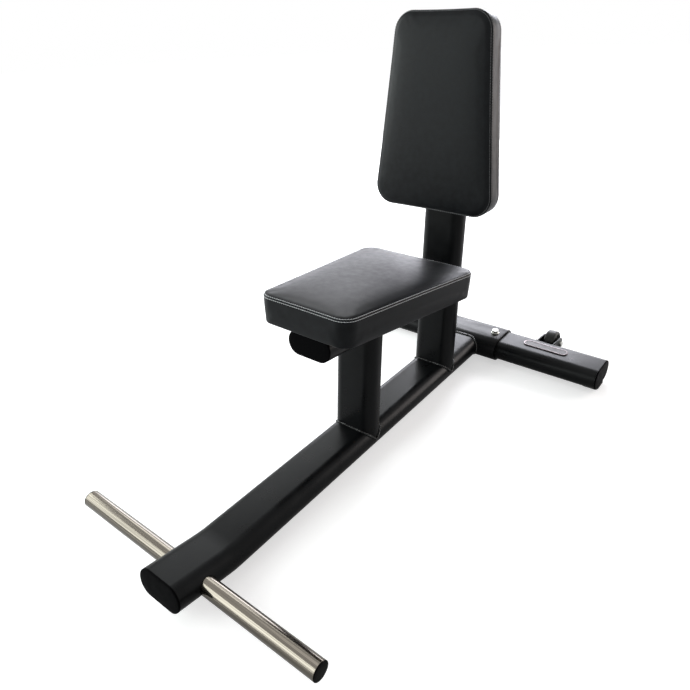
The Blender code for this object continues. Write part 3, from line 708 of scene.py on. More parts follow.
def baked(obj: bpy.types.Object) -> Mesh:
    """Trade an object for a plain copy of the mesh that its modifiers give.

    Args:
        obj: The object, which is removed.

    Returns:
        The mesh.
    """
    graph = bpy.context.evaluated_depsgraph_get()
    mesh = bpy.data.meshes.new_from_object(obj.evaluated_get(graph), depsgraph=graph)
    bpy.data.objects.remove(obj)
    return mesh


def drilled(mesh: Mesh, cutters: list[Mesh]) -> Mesh:
    """Take shapes out of a mesh.

    Args:
        mesh: The mesh to cut, in the cutters' frame.
        cutters: Closed meshes to take away.

    Returns:
        The cut mesh.
    """
    body = new_object("body", mesh)
    tools = [new_object("cutter", cutter) for cutter in cutters]
    for tool in tools:
        modifier = body.modifiers.new("cut", "BOOLEAN")
        modifier.operation = "DIFFERENCE"
        modifier.solver = "EXACT"
        modifier.object = tool
    result = baked(body)
    for tool in tools:
        bpy.data.objects.remove(tool)
    return result


def rod(radius: float, length: float, place: Matrix, steps: int = SMALL_RING_STEPS) -> Mesh:
    """A cylinder about Z, half its length each way, moved to a place.

    Args:
        radius: Its radius.
        length: Its length.
        place: Where its middle stands.
        steps: How many sides it has.

    Returns:
        The mesh.
    """
    mesh = loft(turned_rings([(radius, -length / 2), (radius, length / 2)], steps), joined=False)
    mesh.transform(place)
    return mesh


@dataclass
class Shop:
    """Turns meshes into finished pieces on the loaded frame."""

    frame: dict
    made: list[str] = field(default_factory=list)

    def add(
        self,
        name: str,
        mesh: Mesh,
        finish: Finish,
        place: Matrix,
        node: str = "",
    ) -> bpy.types.Object:
        """Finish a piece: place it in its mesh, shade it, dress it and put it on its body.

        Args:
            name: The piece's name.
            mesh: Its mesh in its own frame.
            finish: Its finish.
            place: Where its own frame stands.
            node: The CAD node that it stands for, whose body it rides on. Without one it rides
                on the frame.

        Returns:
            The piece.
        """
        mesh.transform(place)
        mesh.name = name
        mesh.materials.clear()
        mesh.materials.append(finish.material())
        mesh.shade_smooth()
        mesh.set_sharp_from_angle(angle=CREASE)
        piece = new_object(name, mesh)
        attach(piece, self.frame["nodes"][node]["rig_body"] if node else "frame")
        if node:
            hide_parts(node)
        self.made.append(name)
        LOG.info("%s: %d faces, %s", name, len(mesh.polygons), finish.name)
        return piece

    def dress(self, node: str, finish: Finish) -> None:
        """Give a CAD node that stays its real finish.

        Args:
            node: The node's name.
            finish: Its finish.
        """
        obj = self.frame["nodes"][node]
        for material_slot in obj.material_slots:
            material_slot.material = finish.material()
        LOG.info("%s: CAD node kept, %s", node, finish.name)


# What repeats along a path


@dataclass(frozen=True)
class PathTree:
    """A Geometry Nodes tree that turns a path into a row or a bead along it."""

    name: str
    finish: Finish
    seed: int

    def sizes(self) -> dict[str, float]:
        """The tree's named sizes."""
        raise NotImplementedError

    def grow(self, tree: Tree, start: Node) -> Socket:
        """Add the tree's own nodes after its Group Input and give their geometry."""
        raise NotImplementedError

    def build(self) -> Tree:
        """Make the tree with its named inputs.

        Returns:
            The tree.
        """
        tree = bpy.data.node_groups.new(self.name, "GeometryNodeTree")
        kinds = {"Path": "Geometry", **dict.fromkeys(self.sizes(), "Float")}
        kinds.update({"Seed": "Int", "Material": "Material"})
        for name, kind in kinds.items():
            tree.interface.new_socket(name=name, in_out="INPUT", socket_type=f"NodeSocket{kind}")
        tree.interface.new_socket(
            name="Geometry", in_out="OUTPUT", socket_type="NodeSocketGeometry"
        )
        start = add_node(tree, "NodeGroupInput")
        links = {"Geometry": self.grow(tree, start)}
        real = add_node(tree, "GeometryNodeRealizeInstances", links)
        links = {"Geometry": real.outputs[0], "Material": start.outputs["Material"]}
        coloured = add_node(tree, "GeometryNodeSetMaterial", links)
        add_node(tree, "NodeGroupOutput", {"Geometry": coloured.outputs[0]})
        return tree

    def lay(
        self, points: list[Vector], facings: list[Vector] | None = None, closed: bool = True
    ) -> Mesh:
        """Run the tree along a path.

        Args:
            points: The path.
            facings: Which way the surface under each point faces, where the tree asks for it.
            closed: Whether the path's last point meets its first.

        Returns:
            The plain mesh.
        """
        count = len(points)
        edges = [(i, (i + 1) % count) for i in range(count if closed else count - 1)]
        path = bpy.data.meshes.new("path")
        path.from_pydata(points, edges, [])
        if facings:
            facing = path.attributes.new("facing", "FLOAT_VECTOR", "POINT")
            facing.data.foreach_set("vector", [value for vector in facings for value in vector])
        holder = new_object("path", path)
        tree = bpy.data.node_groups.get(self.name) or self.build()
        modifier = holder.modifiers.new(self.name, "NODES")
        modifier.node_group = tree
        values = {**self.sizes(), "Seed": self.seed, "Material": self.finish.material()}
        for item in tree.interface.items_tree:
            if item.in_out == "INPUT" and item.name in values:
                modifier[item.identifier] = values[item.name]
        return baked(holder)


@dataclass(frozen=True)
class WireRow(PathTree):
    """Short arched lengths of wire along a path: stitches of thread, or staples."""

    pitch: float
    length: float
    radius: float
    rise: float
    sway: float = 0.08
    arch_steps: int = 5
    section_steps: int = 6

    def sizes(self) -> dict[str, float]:
        """Pitch, length, radius, rise and sway."""
        names = ("pitch", "length", "radius", "rise", "sway")
        return {name.capitalize(): getattr(self, name) for name in names}

    def grow(self, tree: Tree, start: Node) -> Socket:
        """Set an arched wire on each point of the evenly divided path.

        Args:
            tree: The tree.
            start: Its Group Input.

        Returns:
            The instances.
        """
        given = start.outputs
        scaled = {}
        for name, size, factor in (
            ("back", "Sway", -1.0),
            ("half", "Length", 0.5),
            ("less", "Length", -0.5),
            ("dip", "Radius", -1.0),
            ("peak", "Rise", 2.0),
        ):
            links = {0: given[size], 1: factor}
            scaled[name] = add_node(tree, "ShaderNodeMath", links, operation="MULTIPLY").outputs[0]
        curve = add_node(tree, "GeometryNodeMeshToCurve", {"Mesh": given["Path"]})
        links = {"Curve": curve.outputs[0], "Length": given["Pitch"]}
        points = add_node(tree, "GeometryNodeCurveToPoints", links, mode="LENGTH")
        links = {"Vector": points.outputs["Tangent"]}
        along = add_node(tree, "FunctionNodeAlignRotationToVector", links, axis="X")
        links = {"Name": "facing"}
        facing = add_node(
            tree, "GeometryNodeInputNamedAttribute", links, data_type="FLOAT_VECTOR"
        )
        links = {"Rotation": along.outputs[0], "Vector": facing.outputs["Attribute"]}
        upright = add_node(
            tree, "FunctionNodeAlignRotationToVector", links, axis="Z", pivot_axis="X"
        )
        links = {2: scaled["back"], 3: given["Sway"], "Seed": given["Seed"]}
        yaw = add_node(tree, "FunctionNodeRandomValue", links, data_type="FLOAT")
        turn = add_node(tree, "ShaderNodeCombineXYZ", {"Z": yaw.outputs[1]})
        turned = add_node(tree, "FunctionNodeEulerToRotation", {0: turn.outputs[0]})
        links = {"Rotation": upright.outputs[0], "Rotate By": turned.outputs[0]}
        swayed = add_node(tree, "FunctionNodeRotateRotation", links, rotation_space="LOCAL")
        links = {"Resolution": self.arch_steps}
        for end, x, z in (("Start", "less", "dip"), ("Middle", "", "peak"), ("End", "half", "dip")):
            place = {"X": scaled[x], "Z": scaled[z]} if x else {"Z": scaled[z]}
            links[end] = add_node(tree, "ShaderNodeCombineXYZ", place).outputs[0]
        arch = add_node(tree, "GeometryNodeCurveQuadraticBezier", links)
        links = {"Resolution": self.section_steps, "Radius": given["Radius"]}
        section = add_node(tree, "GeometryNodeCurvePrimitiveCircle", links)
        links = {0: arch.outputs[0], 1: section.outputs[0], "Fill Caps": True}
        wire = add_node(tree, "GeometryNodeCurveToMesh", links)
        links = {"Points": points.outputs["Points"], "Instance": wire.outputs[0]}
        links["Rotation"] = swayed.outputs[0]
        return add_node(tree, "GeometryNodeInstanceOnPoints", links).outputs[0]


@dataclass(frozen=True)
class WeldBead(PathTree):
    """A MIG weld along a joint: overlapping ripples, each swelling and then dropping."""

    radius: float
    ripple: float
    depth: float
    ripple_steps: float = 6.0
    section_steps: int = 10
    fall_power: float = 2.2
    waver: float = 0.08

    def sizes(self) -> dict[str, float]:
        """Radius, ripple pitch and ripple depth."""
        return {"Radius": self.radius, "Ripple": self.ripple, "Depth": self.depth}

    def grow(self, tree: Tree, start: Node) -> Socket:
        """Sweep a circle whose radius follows the ripples.

        Args:
            tree: The tree.
            start: Its Group Input.

        Returns:
            The bead.
        """
        given = start.outputs
        curve = add_node(tree, "GeometryNodeMeshToCurve", {"Mesh": given["Path"]})
        links = {0: given["Ripple"], 1: self.ripple_steps}
        step = add_node(tree, "ShaderNodeMath", links, operation="DIVIDE")
        links = {"Curve": curve.outputs[0], "Length": step.outputs[0]}
        even = add_node(tree, "GeometryNodeResampleCurve", links, mode="LENGTH")
        where = add_node(tree, "GeometryNodeSplineParameter")
        links = {2: -self.waver, 3: self.waver, "Seed": given["Seed"]}
        uneven = add_node(tree, "FunctionNodeRandomValue", links, data_type="FLOAT")
        # Each step takes the value before it: the share of a ripple, its fall, then the radius.
        value = where.outputs["Length"]
        for operation, other in (
            ("DIVIDE", given["Ripple"]),
            ("FRACT", 0.0),
            ("POWER", self.fall_power),
            ("MULTIPLY", given["Depth"]),
            ("MULTIPLY", -1.0),
            ("ADD", 1.0),
            ("ADD", uneven.outputs[1]),
            ("MULTIPLY", given["Radius"]),
        ):
            links = {0: value, 1: other}
            value = add_node(tree, "ShaderNodeMath", links, operation=operation).outputs[0]
        links = {"Resolution": self.section_steps, "Radius": 1.0}
        section = add_node(tree, "GeometryNodeCurvePrimitiveCircle", links)
        links = {0: even.outputs[0], 1: section.outputs[0], "Scale": value, "Fill Caps": True}
        return add_node(tree, "GeometryNodeCurveToMesh", links).outputs[0]


# Frame tube and the places of the sub-assemblies


@dataclass(frozen=True)
class OvalTube:
    """Flat-oval steel tube: two flat sides joined by half rounds."""

    width: float = 0.120
    height: float = 0.060
    wall: float = 0.003

    @property
    def half(self) -> float:
        """Half the tube's height, which is also the radius of its rounds."""
        return self.height / 2

    @property
    def reach(self) -> float:
        """Half the width of its flats."""
        return self.width / 2 - self.half

    def outline(self, inset: float = 0.0) -> Outline:
        """The section, drawn in all round.

        Args:
            inset: How far it is drawn in.

        Returns:
            The outline.
        """
        span = (-QUARTER_TURN, QUARTER_TURN)
        right = arc((self.reach, 0), self.half - inset, *span, HALF_ROUND_STEPS)
        return right + [(-x, -y) for x, y in right]

    def outward(self, x: float, y: float) -> Vector:
        """Which way the section faces at a point of its outline."""
        return Vector((x - math.copysign(min(abs(x), self.reach), x), y)).normalized()

    def rise(self, x: float) -> float:
        """How far the section reaches from its middle plane, at a distance from its middle."""
        out = max(abs(x) - self.reach, 0.0)
        return math.sqrt(max(self.half * self.half - out * out, 0.0)) if out else self.half


TUBE = OvalTube()


@dataclass(frozen=True)
class Layout:
    """Stations along the bench: Y from the footrest bar, Z from the spine's underside."""

    lean: float = math.radians(6.0)
    front_post: float = 0.548
    post_spacing: float = 0.377
    crossbar: float = 1.150
    foot_height: float = 0.010
    seat_axis_rise: float = 0.280
    seat_pad_front: float = 0.214
    back_post_length: float = 0.880
    back_pad_rise: float = 0.056
    bar_drop: float = 0.0023
    bend_station: float = 0.073
    bend_angle: float = math.radians(8.4)

    @property
    def bench(self) -> Matrix:
        """The bench's frame, found from the crossbar's place in the CAD."""
        low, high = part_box("rear_crossbar")
        return seat_at((0, (low.y + high.y) / 2 - self.crossbar, self.foot_height))

    @property
    def back_post(self) -> float:
        """Station of the back post's foot."""
        return self.front_post + self.post_spacing / math.cos(self.lean)

    @property
    def front_foot(self) -> Matrix:
        """Foot of the front post, its Z axis up the post."""
        return self.bench @ seat_at((0, self.front_post, TUBE.height), (-self.lean, 0, 0))

    @property
    def back_foot(self) -> Matrix:
        """Foot of the back post, its Z axis up the post."""
        return self.bench @ seat_at((0, self.back_post, TUBE.height), (-self.lean, 0, 0))

    @property
    def seat(self) -> Matrix:
        """The seat's datum: on the seat tube's top, under the cushion's front edge."""
        return self.front_foot @ seat_at((0, -self.seat_pad_front, self.seat_axis_rise + TUBE.half))

    @property
    def back(self) -> Matrix:
        """The back cushion's datum: Y runs down the post and Z forward."""
        place = (0, -TUBE.half, self.back_post_length + self.back_pad_rise)
        return self.back_foot @ seat_at(place, (-QUARTER_TURN, 0, math.pi))

    @property
    def crossbar_middle(self) -> Matrix:
        """Middle of the rear crossbar, X along it."""
        return self.bench @ seat_at((0, self.crossbar, TUBE.half))

    @property
    def bar_height(self) -> float:
        """Height of the footrest bar's axis."""
        return TUBE.half + self.bend_station * math.tan(self.bend_angle) - self.bar_drop


LAYOUT = Layout()
ALONG_BENCH = (QUARTER_TURN, 0, 0)
ALONG_CROSSBAR = (QUARTER_TURN, 0, QUARTER_TURN)
ACROSS = (0, QUARTER_TURN, 0)
UPSIDE_DOWN = (math.pi, 0, 0)


@dataclass(frozen=True)
class TubeCap:
    """Plastic plug for a flat-oval tube: a rounded flange over its end, slightly domed."""

    flange: float = 0.004
    plug_depth: float = 0.012
    edge_round: float = 0.0018
    crown: float = 0.0008
    crown_insets: tuple[float, ...] = (0.006, 0.012, 0.018, 0.024)
    round_steps: int = 5

    def mesh(self) -> Mesh:
        """The cap with its flange on the XY plane, facing +Z.

        Returns:
            The mesh.
        """
        plug = TUBE.outline(TUBE.wall + GAP)
        rings = [flat_ring(plug, -self.plug_depth), flat_ring(plug, GAP)]
        rings.append(flat_ring(TUBE.outline(), GAP))
        for inset, drop in quarter_round(self.edge_round, self.round_steps):
            rings.append(flat_ring(TUBE.outline(inset), self.flange - drop))
        deepest = self.crown_insets[-1]
        for inset in self.crown_insets:
            share = 1 - (1 - inset / deepest) ** 2
            rings.append(flat_ring(TUBE.outline(inset), self.flange + self.crown * share))
        return loft(rings, joined=False)


@dataclass(frozen=True)
class HexBolt:
    """Hex bolt whose head bears on the XY plane, its shank pointing down."""

    diameter: float
    flats: float
    head: float
    length: float
    flange: float = 0.0
    flange_height: float = 0.0
    chamfer_slope: float = math.tan(math.radians(28.0))
    crown_share: float = 0.94
    dish_depth: float = 0.00025
    dish_shares: tuple[float, float] = (0.8, 0.86)
    thread_pitch: float = 0.0014
    thread_turns: int = 4
    tip_share: float = 0.8

    @property
    def crown(self) -> float:
        """Radius at which the chamfer of the corners starts."""
        return self.flats / 2 * self.crown_share

    def hex_ring(self, height: float, down: float) -> list[Vector]:
        """A hexagonal ring whose corners are chamfered by a cone.

        Args:
            height: Height of the face that the cone starts from.
            down: -1 where the cone slopes down from that face, 1 where it slopes up, 0 for none.

        Returns:
            The ring.
        """
        points = []
        for i in range(SMALL_RING_STEPS):
            angle = 2 * math.pi * i / SMALL_RING_STEPS
            reach = hex_reach(self.flats, angle)
            z = height + down * (reach - self.crown) * self.chamfer_slope
            points.append(Vector((reach * math.cos(angle), reach * math.sin(angle), z)))
        return points

    def mesh(self) -> Mesh:
        """The bolt with its head, flange, shank and the thread at its tip.

        Returns:
            The mesh.
        """
        top = self.flange_height + self.head
        dish, rim = [self.crown * share for share in self.dish_shares]
        shank, pitch = self.diameter / 2, self.thread_pitch
        head = [(dish, top - self.dish_depth), (rim, top), (self.crown, top)]
        below = [(shank, 0)]
        if self.flange:
            below[:0] = [(self.flange / 2, self.flange_height / 2), (self.flange / 2, 0)]
        start = self.thread_turns * pitch - self.length
        for i in range(self.thread_turns):
            z = start - i * pitch
            below += [(shank, z), (shank - pitch / 2, z - pitch / 2)]
        below.append((shank * self.tip_share, -self.length))
        rings = turned_rings(head, SMALL_RING_STEPS)
        rings += [self.hex_ring(top, -1), self.hex_ring(self.flange_height, 0)]
        return loft(rings + turned_rings(below, SMALL_RING_STEPS), joined=False)


@dataclass(frozen=True)
class HexNut:
    """Hex nut standing on the XY plane, chamfered on both faces and open along Z."""

    flats: float
    bore: float
    height: float
    countersink: float = 0.0006

    def mesh(self) -> Mesh:
        """The nut.

        Returns:
            The mesh.
        """
        top, sunk, hole = self.height, self.countersink, self.bore / 2
        face = HexBolt(self.bore, self.flats, top, top)
        low = [(hole, sunk), (hole + sunk, 0), (face.crown, 0)]
        high = [(radius, top - z) for radius, z in reversed(low)]
        rings = turned_rings(low, SMALL_RING_STEPS)
        rings += [face.hex_ring(0, 1), face.hex_ring(top, -1)]
        return loft(rings + turned_rings(high, SMALL_RING_STEPS))


# Sub-assemblies


@dataclass
class TubeFrame:
    """The welded frame: bent spine, two leaning posts and the tube under the seat."""

    shop: Shop
    spine_nose: float = 0.138
    bend_radius: float = 0.250
    bend_steps: int = 20
    sleeve_height: float = 0.073
    sleeve_width: float = 0.133
    bar_hole: float = 0.0199
    seat_tube_nose: float = 0.183
    cap: TubeCap = TubeCap()
    weld: WeldBead = WeldBead("post_weld", WELD_COAT, 11, 0.0035, 0.0052, 0.38)
    fine_weld: WeldBead = WeldBead("fine_weld", WELD_COAT, 12, 0.0022, 0.003, 0.18)
    sleeve_weld_proud: float = 0.0008
    weld_proud: float = 0.0012
    fine_weld_proud: float = 0.0010

    def spine_sections(self) -> list[tuple[Vector, float]]:
        """Places and tilts along the spine's centre line, from its nose to the end of its bend.

        Returns:
            (place, tilt) of each section.
        """
        angle = LAYOUT.bend_angle
        run_in = self.bend_radius * math.tan(angle / 2)
        bend_end = Vector((0, LAYOUT.bend_station + run_in, TUBE.half))
        sections = []
        for i in range(self.bend_steps + 1):
            tilt = angle * (1 - i / self.bend_steps)
            back = Vector((0, math.sin(tilt), math.cos(tilt) - 1)) * self.bend_radius
            sections.append((bend_end - back, tilt))
        along = Vector((0, -math.cos(angle), math.sin(angle)))
        nose = sections[0][0] + along * (self.spine_nose - run_in)
        return [(nose, angle)] + sections

    def cope_point(self, x: float, height: float) -> Vector:
        """Where a line along the spine meets the sleeve's rounded nose.

        Args:
            x: The line's distance from the spine's middle.
            height: Its height above the spine's axis.

        Returns:
            The point.
        """
        radius = self.sleeve_height / 2 + GAP
        middle = LAYOUT.crossbar - (self.sleeve_width - self.sleeve_height) / 2
        reach = math.sqrt(radius * radius - height * height)
        return Vector((x, middle - reach, TUBE.half + height))

    def spine_rings(self, inset: float) -> Rings:
        """Rings of the spine's outer or inner skin, the last coped to the sleeve's nose.

        Args:
            inset: How far the skin lies inside the tube's outline.

        Returns:
            The rings, front to back.
        """
        rings = []
        outline = TUBE.outline(inset)
        for place, tilt in self.spine_sections():
            up = Vector((0, math.sin(tilt), math.cos(tilt)))
            rings.append([place + Vector((x, 0, 0)) + up * y for x, y in outline])
        rings.append([self.cope_point(x, y) for x, y in outline])
        return rings

    def make_spine(self) -> None:
        """The spine with its nose cap, the bar's hole and the weld to the sleeve."""
        skin = loft(self.spine_rings(0) + self.spine_rings(TUBE.wall)[::-1])
        across = seat_at((0, 0, LAYOUT.bar_height), ACROSS)
        mesh = drilled(skin, [rod(self.bar_hole, 2 * TUBE.width, across, RING_STEPS)])
        self.shop.add("spine_tube", mesh, FRAME_COAT, LAYOUT.bench, "main_spine")
        place, tilt = self.spine_sections()[0]
        facing = LAYOUT.bench @ seat_at(place, (QUARTER_TURN - tilt, 0, 0))
        self.shop.add("spine_nose_cap", self.cap.mesh(), CAP_PLASTIC, facing, "spine_front_cap")
        ring = []
        for x, y in TUBE.outline():
            side = TUBE.outward(x, y)
            off = Vector((side.x, -1, side.y)) * self.sleeve_weld_proud
            ring.append(self.cope_point(x, y) + off)
        self.shop.add("spine_to_sleeve_weld", self.weld.lay(ring), WELD_COAT, LAYOUT.bench)

    def foot_ring(self, inset: float = 0.0) -> list[Vector]:
        """A post's foot, coped to the spine's top, in the post's own frame.

        Args:
            inset: How far the ring lies inside the tube's outline.

        Returns:
            The ring.
        """
        points = []
        lean = LAYOUT.lean
        for x, y in TUBE.outline(inset):
            drop = TUBE.rise(x) + GAP - TUBE.half
            points.append(Vector((x, y, (drop + y * math.sin(lean)) / math.cos(lean))))
        return points

    def seat_post_top(self, inset: float = 0.0) -> list[Vector]:
        """The front post's top, coped to the seat tube."""
        axis = LAYOUT.seat_axis_rise
        return [Vector((x, y, axis - TUBE.rise(x) - GAP)) for x, y in TUBE.outline(inset)]

    def seat_tube_end(self, rear: bool, inset: float = 0.0) -> list[Vector]:
        """An end of the tube under the seat.

        Args:
            rear: Whether it is the end coped to the back post, not the front one.
            inset: How far the ring lies inside the tube's outline.

        Returns:
            The ring.
        """
        points = []
        for x, y in TUBE.outline(inset):
            along = LAYOUT.post_spacing - GAP - TUBE.rise(x) if rear else -self.seat_tube_nose
            points.append(Vector((x, along, LAYOUT.seat_axis_rise + y)))
        return points

    def add_weld(
        self,
        name: str,
        bead: WeldBead,
        ring: list[Vector],
        upright: bool,
        proud: float,
        place: Matrix,
    ) -> None:
        """Lay a weld round the end of a post or of the seat tube.

        Args:
            name: The piece's name.
            bead: The kind of weld.
            ring: The tube's end.
            upright: Whether the tube stands up, rather than runs along the bench.
            proud: How far the weld's middle stands off the tube.
            place: The frame that the ring is in.
        """
        path = []
        for point, (x, y) in zip(ring, TUBE.outline()):
            side = TUBE.outward(x, y)
            off = Vector((side.x, side.y, 0)) if upright else Vector((side.x, 0, side.y))
            path.append(point + off * proud)
        self.shop.add(name, bead.lay(path), WELD_COAT, place)

    def make_posts(self) -> None:
        """Both posts with their welds, and the back post's cap."""
        front_foot, back_foot = LAYOUT.front_foot, LAYOUT.back_foot
        low_outer, low_inner = self.foot_ring(), self.foot_ring(TUBE.wall)
        seat_top = self.seat_post_top()
        mesh = loft([low_outer, seat_top, self.seat_post_top(TUBE.wall), low_inner])
        self.shop.add("front_post_tube", mesh, FRAME_COAT, front_foot, "front_post")
        top = LAYOUT.back_post_length - self.cap.flange
        ends = [flat_ring(TUBE.outline(inset), top) for inset in (0, TUBE.wall)]
        mesh = loft([low_outer, *ends, low_inner])
        self.shop.add("back_post_tube", mesh, FRAME_COAT, back_foot, "back_post")
        place = back_foot @ seat_at((0, 0, top))
        self.shop.add("back_post_top_cap", self.cap.mesh(), CAP_PLASTIC, place, "back_post_cap")
        for name, place in (("front", front_foot), ("back", back_foot)):
            title = f"{name}_post_foot_weld"
            self.add_weld(title, self.weld, low_outer, True, self.weld_proud, place)
        proud = self.fine_weld_proud
        self.add_weld("front_post_top_weld", self.fine_weld, seat_top, True, proud, front_foot)

    def make_seat_tube(self) -> None:
        """The tube under the seat, capped in front and coped to the back post."""
        rear = self.seat_tube_end(rear=True)
        inner = [self.seat_tube_end(end, TUBE.wall) for end in (True, False)]
        mesh = loft([self.seat_tube_end(rear=False), rear, *inner])
        place = LAYOUT.front_foot
        self.shop.add("under_seat_tube", mesh, FRAME_COAT, place, "seat_tube")
        front = place @ seat_at((0, -self.seat_tube_nose, LAYOUT.seat_axis_rise), ALONG_BENCH)
        self.shop.add("under_seat_tube_cap", self.cap.mesh(), CAP_PLASTIC, front, "seat_tube_cap")
        proud = self.fine_weld_proud
        self.add_weld("under_seat_tube_weld", self.fine_weld, rear, False, proud, place)

    def build(self) -> None:
        """Make the whole frame."""
        self.make_spine()
        self.make_posts()
        self.make_seat_tube()


@dataclass
class Footrest:
    """The polished bar through the spine, with a domed plug in each end."""

    shop: Shop
    radius: float = 0.019
    wall: float = 0.002
    length: float = 0.682
    bar_ease: float = 0.0004
    plug_depth: float = 0.015
    flange: float = 0.003
    edge: float = 0.0014
    dome: float = 0.0006
    dome_shares: tuple[float, ...] = (0.75, 0.5, 0.25)
    round_steps: int = 5

    def plug_mesh(self) -> Mesh:
        """A plug whose flange stands on the XY plane.

        Returns:
            The mesh.
        """
        inside = self.radius - self.wall - GAP
        profile = [(inside, -self.plug_depth), (inside, GAP), (self.radius, GAP)]
        for inset, drop in quarter_round(self.edge, self.round_steps):
            profile.append((self.radius - inset, self.flange - self.dome - drop))
        for share in self.dome_shares:
            radius = (self.radius - self.edge) * share
            profile.append((radius, self.flange - self.dome * share * share))
        return loft(turned_rings(profile), joined=False)

    def build(self) -> None:
        """Make the bar and its plugs."""
        half, outer = self.length / 2, self.radius
        bore, ease = outer - self.wall, self.bar_ease
        end = [(bore, -half), (outer - ease, -half), (outer, ease - half)]
        mesh = loft(turned_rings(end + [(radius, -z) for radius, z in reversed(end)]))
        place = LAYOUT.bench @ seat_at((0, 0, LAYOUT.bar_height), ACROSS)
        self.shop.add("footrest_tube", mesh, BAR_CHROME, place, "footrest_bar")
        for side in Side:
            spot = (side.value * half, 0, LAYOUT.bar_height)
            place = LAYOUT.bench @ seat_at(spot, (0, side.value * QUARTER_TURN, 0))
            name, node = f"footrest_plug_{side.word}", f"footrest_cap_{side.word}"
            self.shop.add(name, self.plug_mesh(), PLUG_PLASTIC, place, node)


@dataclass(frozen=True)
class PadShape:
    """A cushion's form: a trapezium with round corners, its narrow edge on the X axis."""

    narrow: float
    wide: float
    length: float
    corner: float
    depth: float
    crown: float = 0.0058
    roll: float = 0.009
    draw_in: float = 0.0010
    waist: float = -0.0008
    taper: float = 0.004
    under_round: float = 0.003
    side_steps: int = 10
    board_margin: float = 0.011
    board_thickness: float = 0.015
    corner_steps: int = 14
    edge_spacing: float = 0.006
    seam_angle: float = math.radians(30.0)
    seam_depth: float = 0.0010
    seam_half_width: float = 0.0018
    seam_profile: tuple = ((-1.0, 0.0), (-0.45, 0.6), (0.0, 1.0), (0.45, 0.6), (1.0, 0.0))
    crown_power: float = 4.0
    top_steps: tuple[float, ...] = (0.003, 0.0065, 0.0105, 0.015, 0.020, 0.0255)
    draw_in_reach: float = 0.05
    grid: float = 0.0100

    @property
    def seam_height(self) -> float:
        """Height at which the top edge's roll starts."""
        return self.depth - self.roll

    @property
    def flare(self) -> float:
        """Angle by which each side opens towards the wide edge."""
        return math.atan((self.wide - self.narrow) / 2 / self.length)

    def half_width(self, y: float) -> float:
        """Half the cushion's width at a distance from its narrow edge."""
        return self.narrow / 2 + y * math.tan(self.flare)

    def outline(self, inset: float, draw_in: float = 0.0) -> Outline:
        """The cushion seen from above.

        Args:
            inset: How far it is drawn in all round.
            draw_in: How far each edge's middle is pulled in beyond that.

        Returns:
            The outline, with the same number of points for every inset.
        """
        flare = self.flare
        corner = max(self.corner - inset, self.corner / 4)
        ends = []
        for y, start, end in (
            (inset + corner, -QUARTER_TURN, -flare),
            (self.length - inset - corner, -flare, QUARTER_TURN),
        ):
            centre = (self.half_width(y) - (inset + corner) / math.cos(flare), y)
            ends.append(arc(centre, corner, start, end, self.corner_steps))
        arcs = ends + [[(-x, y) for x, y in reversed(turn)] for turn in reversed(ends)]
        spans = (self.length, self.wide, self.length, self.narrow)
        points = []
        for this, following, span in zip(arcs, arcs[1:] + arcs[:1], spans):
            points += this
            start, end = Vector(this[-1]), Vector(following[0])
            inward = Vector((start.y - end.y, end.x - start.x)).normalized()
            count = round((span - 2 * self.corner) / self.edge_spacing)
            for i in range(1, count):
                t = i / count
                spot = start.lerp(end, t) + inward * draw_in * 4 * t * (1 - t)
                points.append((spot.x, spot.y))
        return points

    def roll_point(self, angle: float) -> tuple[float, float]:
        """(inset, height) on the rolled top edge, from 0 at its side to a quarter turn on top."""
        inset = self.roll * (1 - math.cos(angle))
        return inset, self.seam_height + self.roll * math.sin(angle)

    def top_height(self, x: float, y: float) -> float:
        """How high the crowned top stands at a place seen from above.

        Args:
            x: Distance from the cushion's middle line.
            y: Distance from its narrow edge.

        Returns:
            The height.
        """
        cosine, half = math.cos(self.flare), self.length / 2
        side = self.half_width(y) * cosine
        across = 1 - (side - abs(x) * cosine - self.roll) / (side - self.roll)
        along = 1 - (min(y, self.length - y) - self.roll) / (half - self.roll)
        fall = [min(max(share, 0.0), 1.0) ** self.crown_power for share in (across, along)]
        return self.depth + self.crown * (1 - fall[0]) * (1 - fall[1])

    def rows(self) -> list[tuple[float, float, float, bool]]:
        """The cushion's rings above its board pocket, from the underside to the crown.

        Returns:
            (inset, height, draw-in, whether the simulation leaves it in place) of each.
        """
        under, draw_in = self.under_round, self.draw_in
        low = self.taper + under
        pocket = self.board_margin - GAP
        rows = [
            ((pocket + low) / 2, 0.0, 0.0, True),
            (low, 0.0, 0.0, True),
            (self.taper + under * 0.3, under * 0.3, draw_in * 0.3, True),
            (self.taper, under, draw_in * 0.6, True),
        ]
        for i in range(1, self.side_steps):
            t = i / self.side_steps
            hollow = self.waist * 4 * t * (1 - t)
            z = under + (self.seam_height - under) * t
            rows.append((self.taper * (1 - t) + hollow, z, draw_in, False))
        half_turn = self.seam_half_width / self.roll
        before, after = self.seam_angle - 2 * half_turn, self.seam_angle + 2 * half_turn
        groove = []
        for share, depth in self.seam_profile:
            angle = self.seam_angle + share * half_turn
            inset, z = self.roll_point(angle)
            sunk = self.seam_depth * depth
            groove.append((inset + sunk * math.cos(angle), z - sunk * math.sin(angle)))
        spots = [self.roll_point(0.0), self.roll_point(before), *groove]
        spots += [self.roll_point(min(angle, QUARTER_TURN)) for angle in (after, QUARTER_TURN)]
        return rows + [(inset, z, draw_in, False) for inset, z in spots]

    def top_rings(self) -> Rings:
        """Rings on the crown.

        Returns:
            The rings, from the roll inwards.
        """
        rings = []
        for beyond in self.top_steps:
            draw_in = self.draw_in * (1 - beyond / self.draw_in_reach)
            outline = self.outline(self.roll + beyond, draw_in)
            rings.append([Vector((x, y, self.top_height(x, y))) for x, y in outline])
        return rings

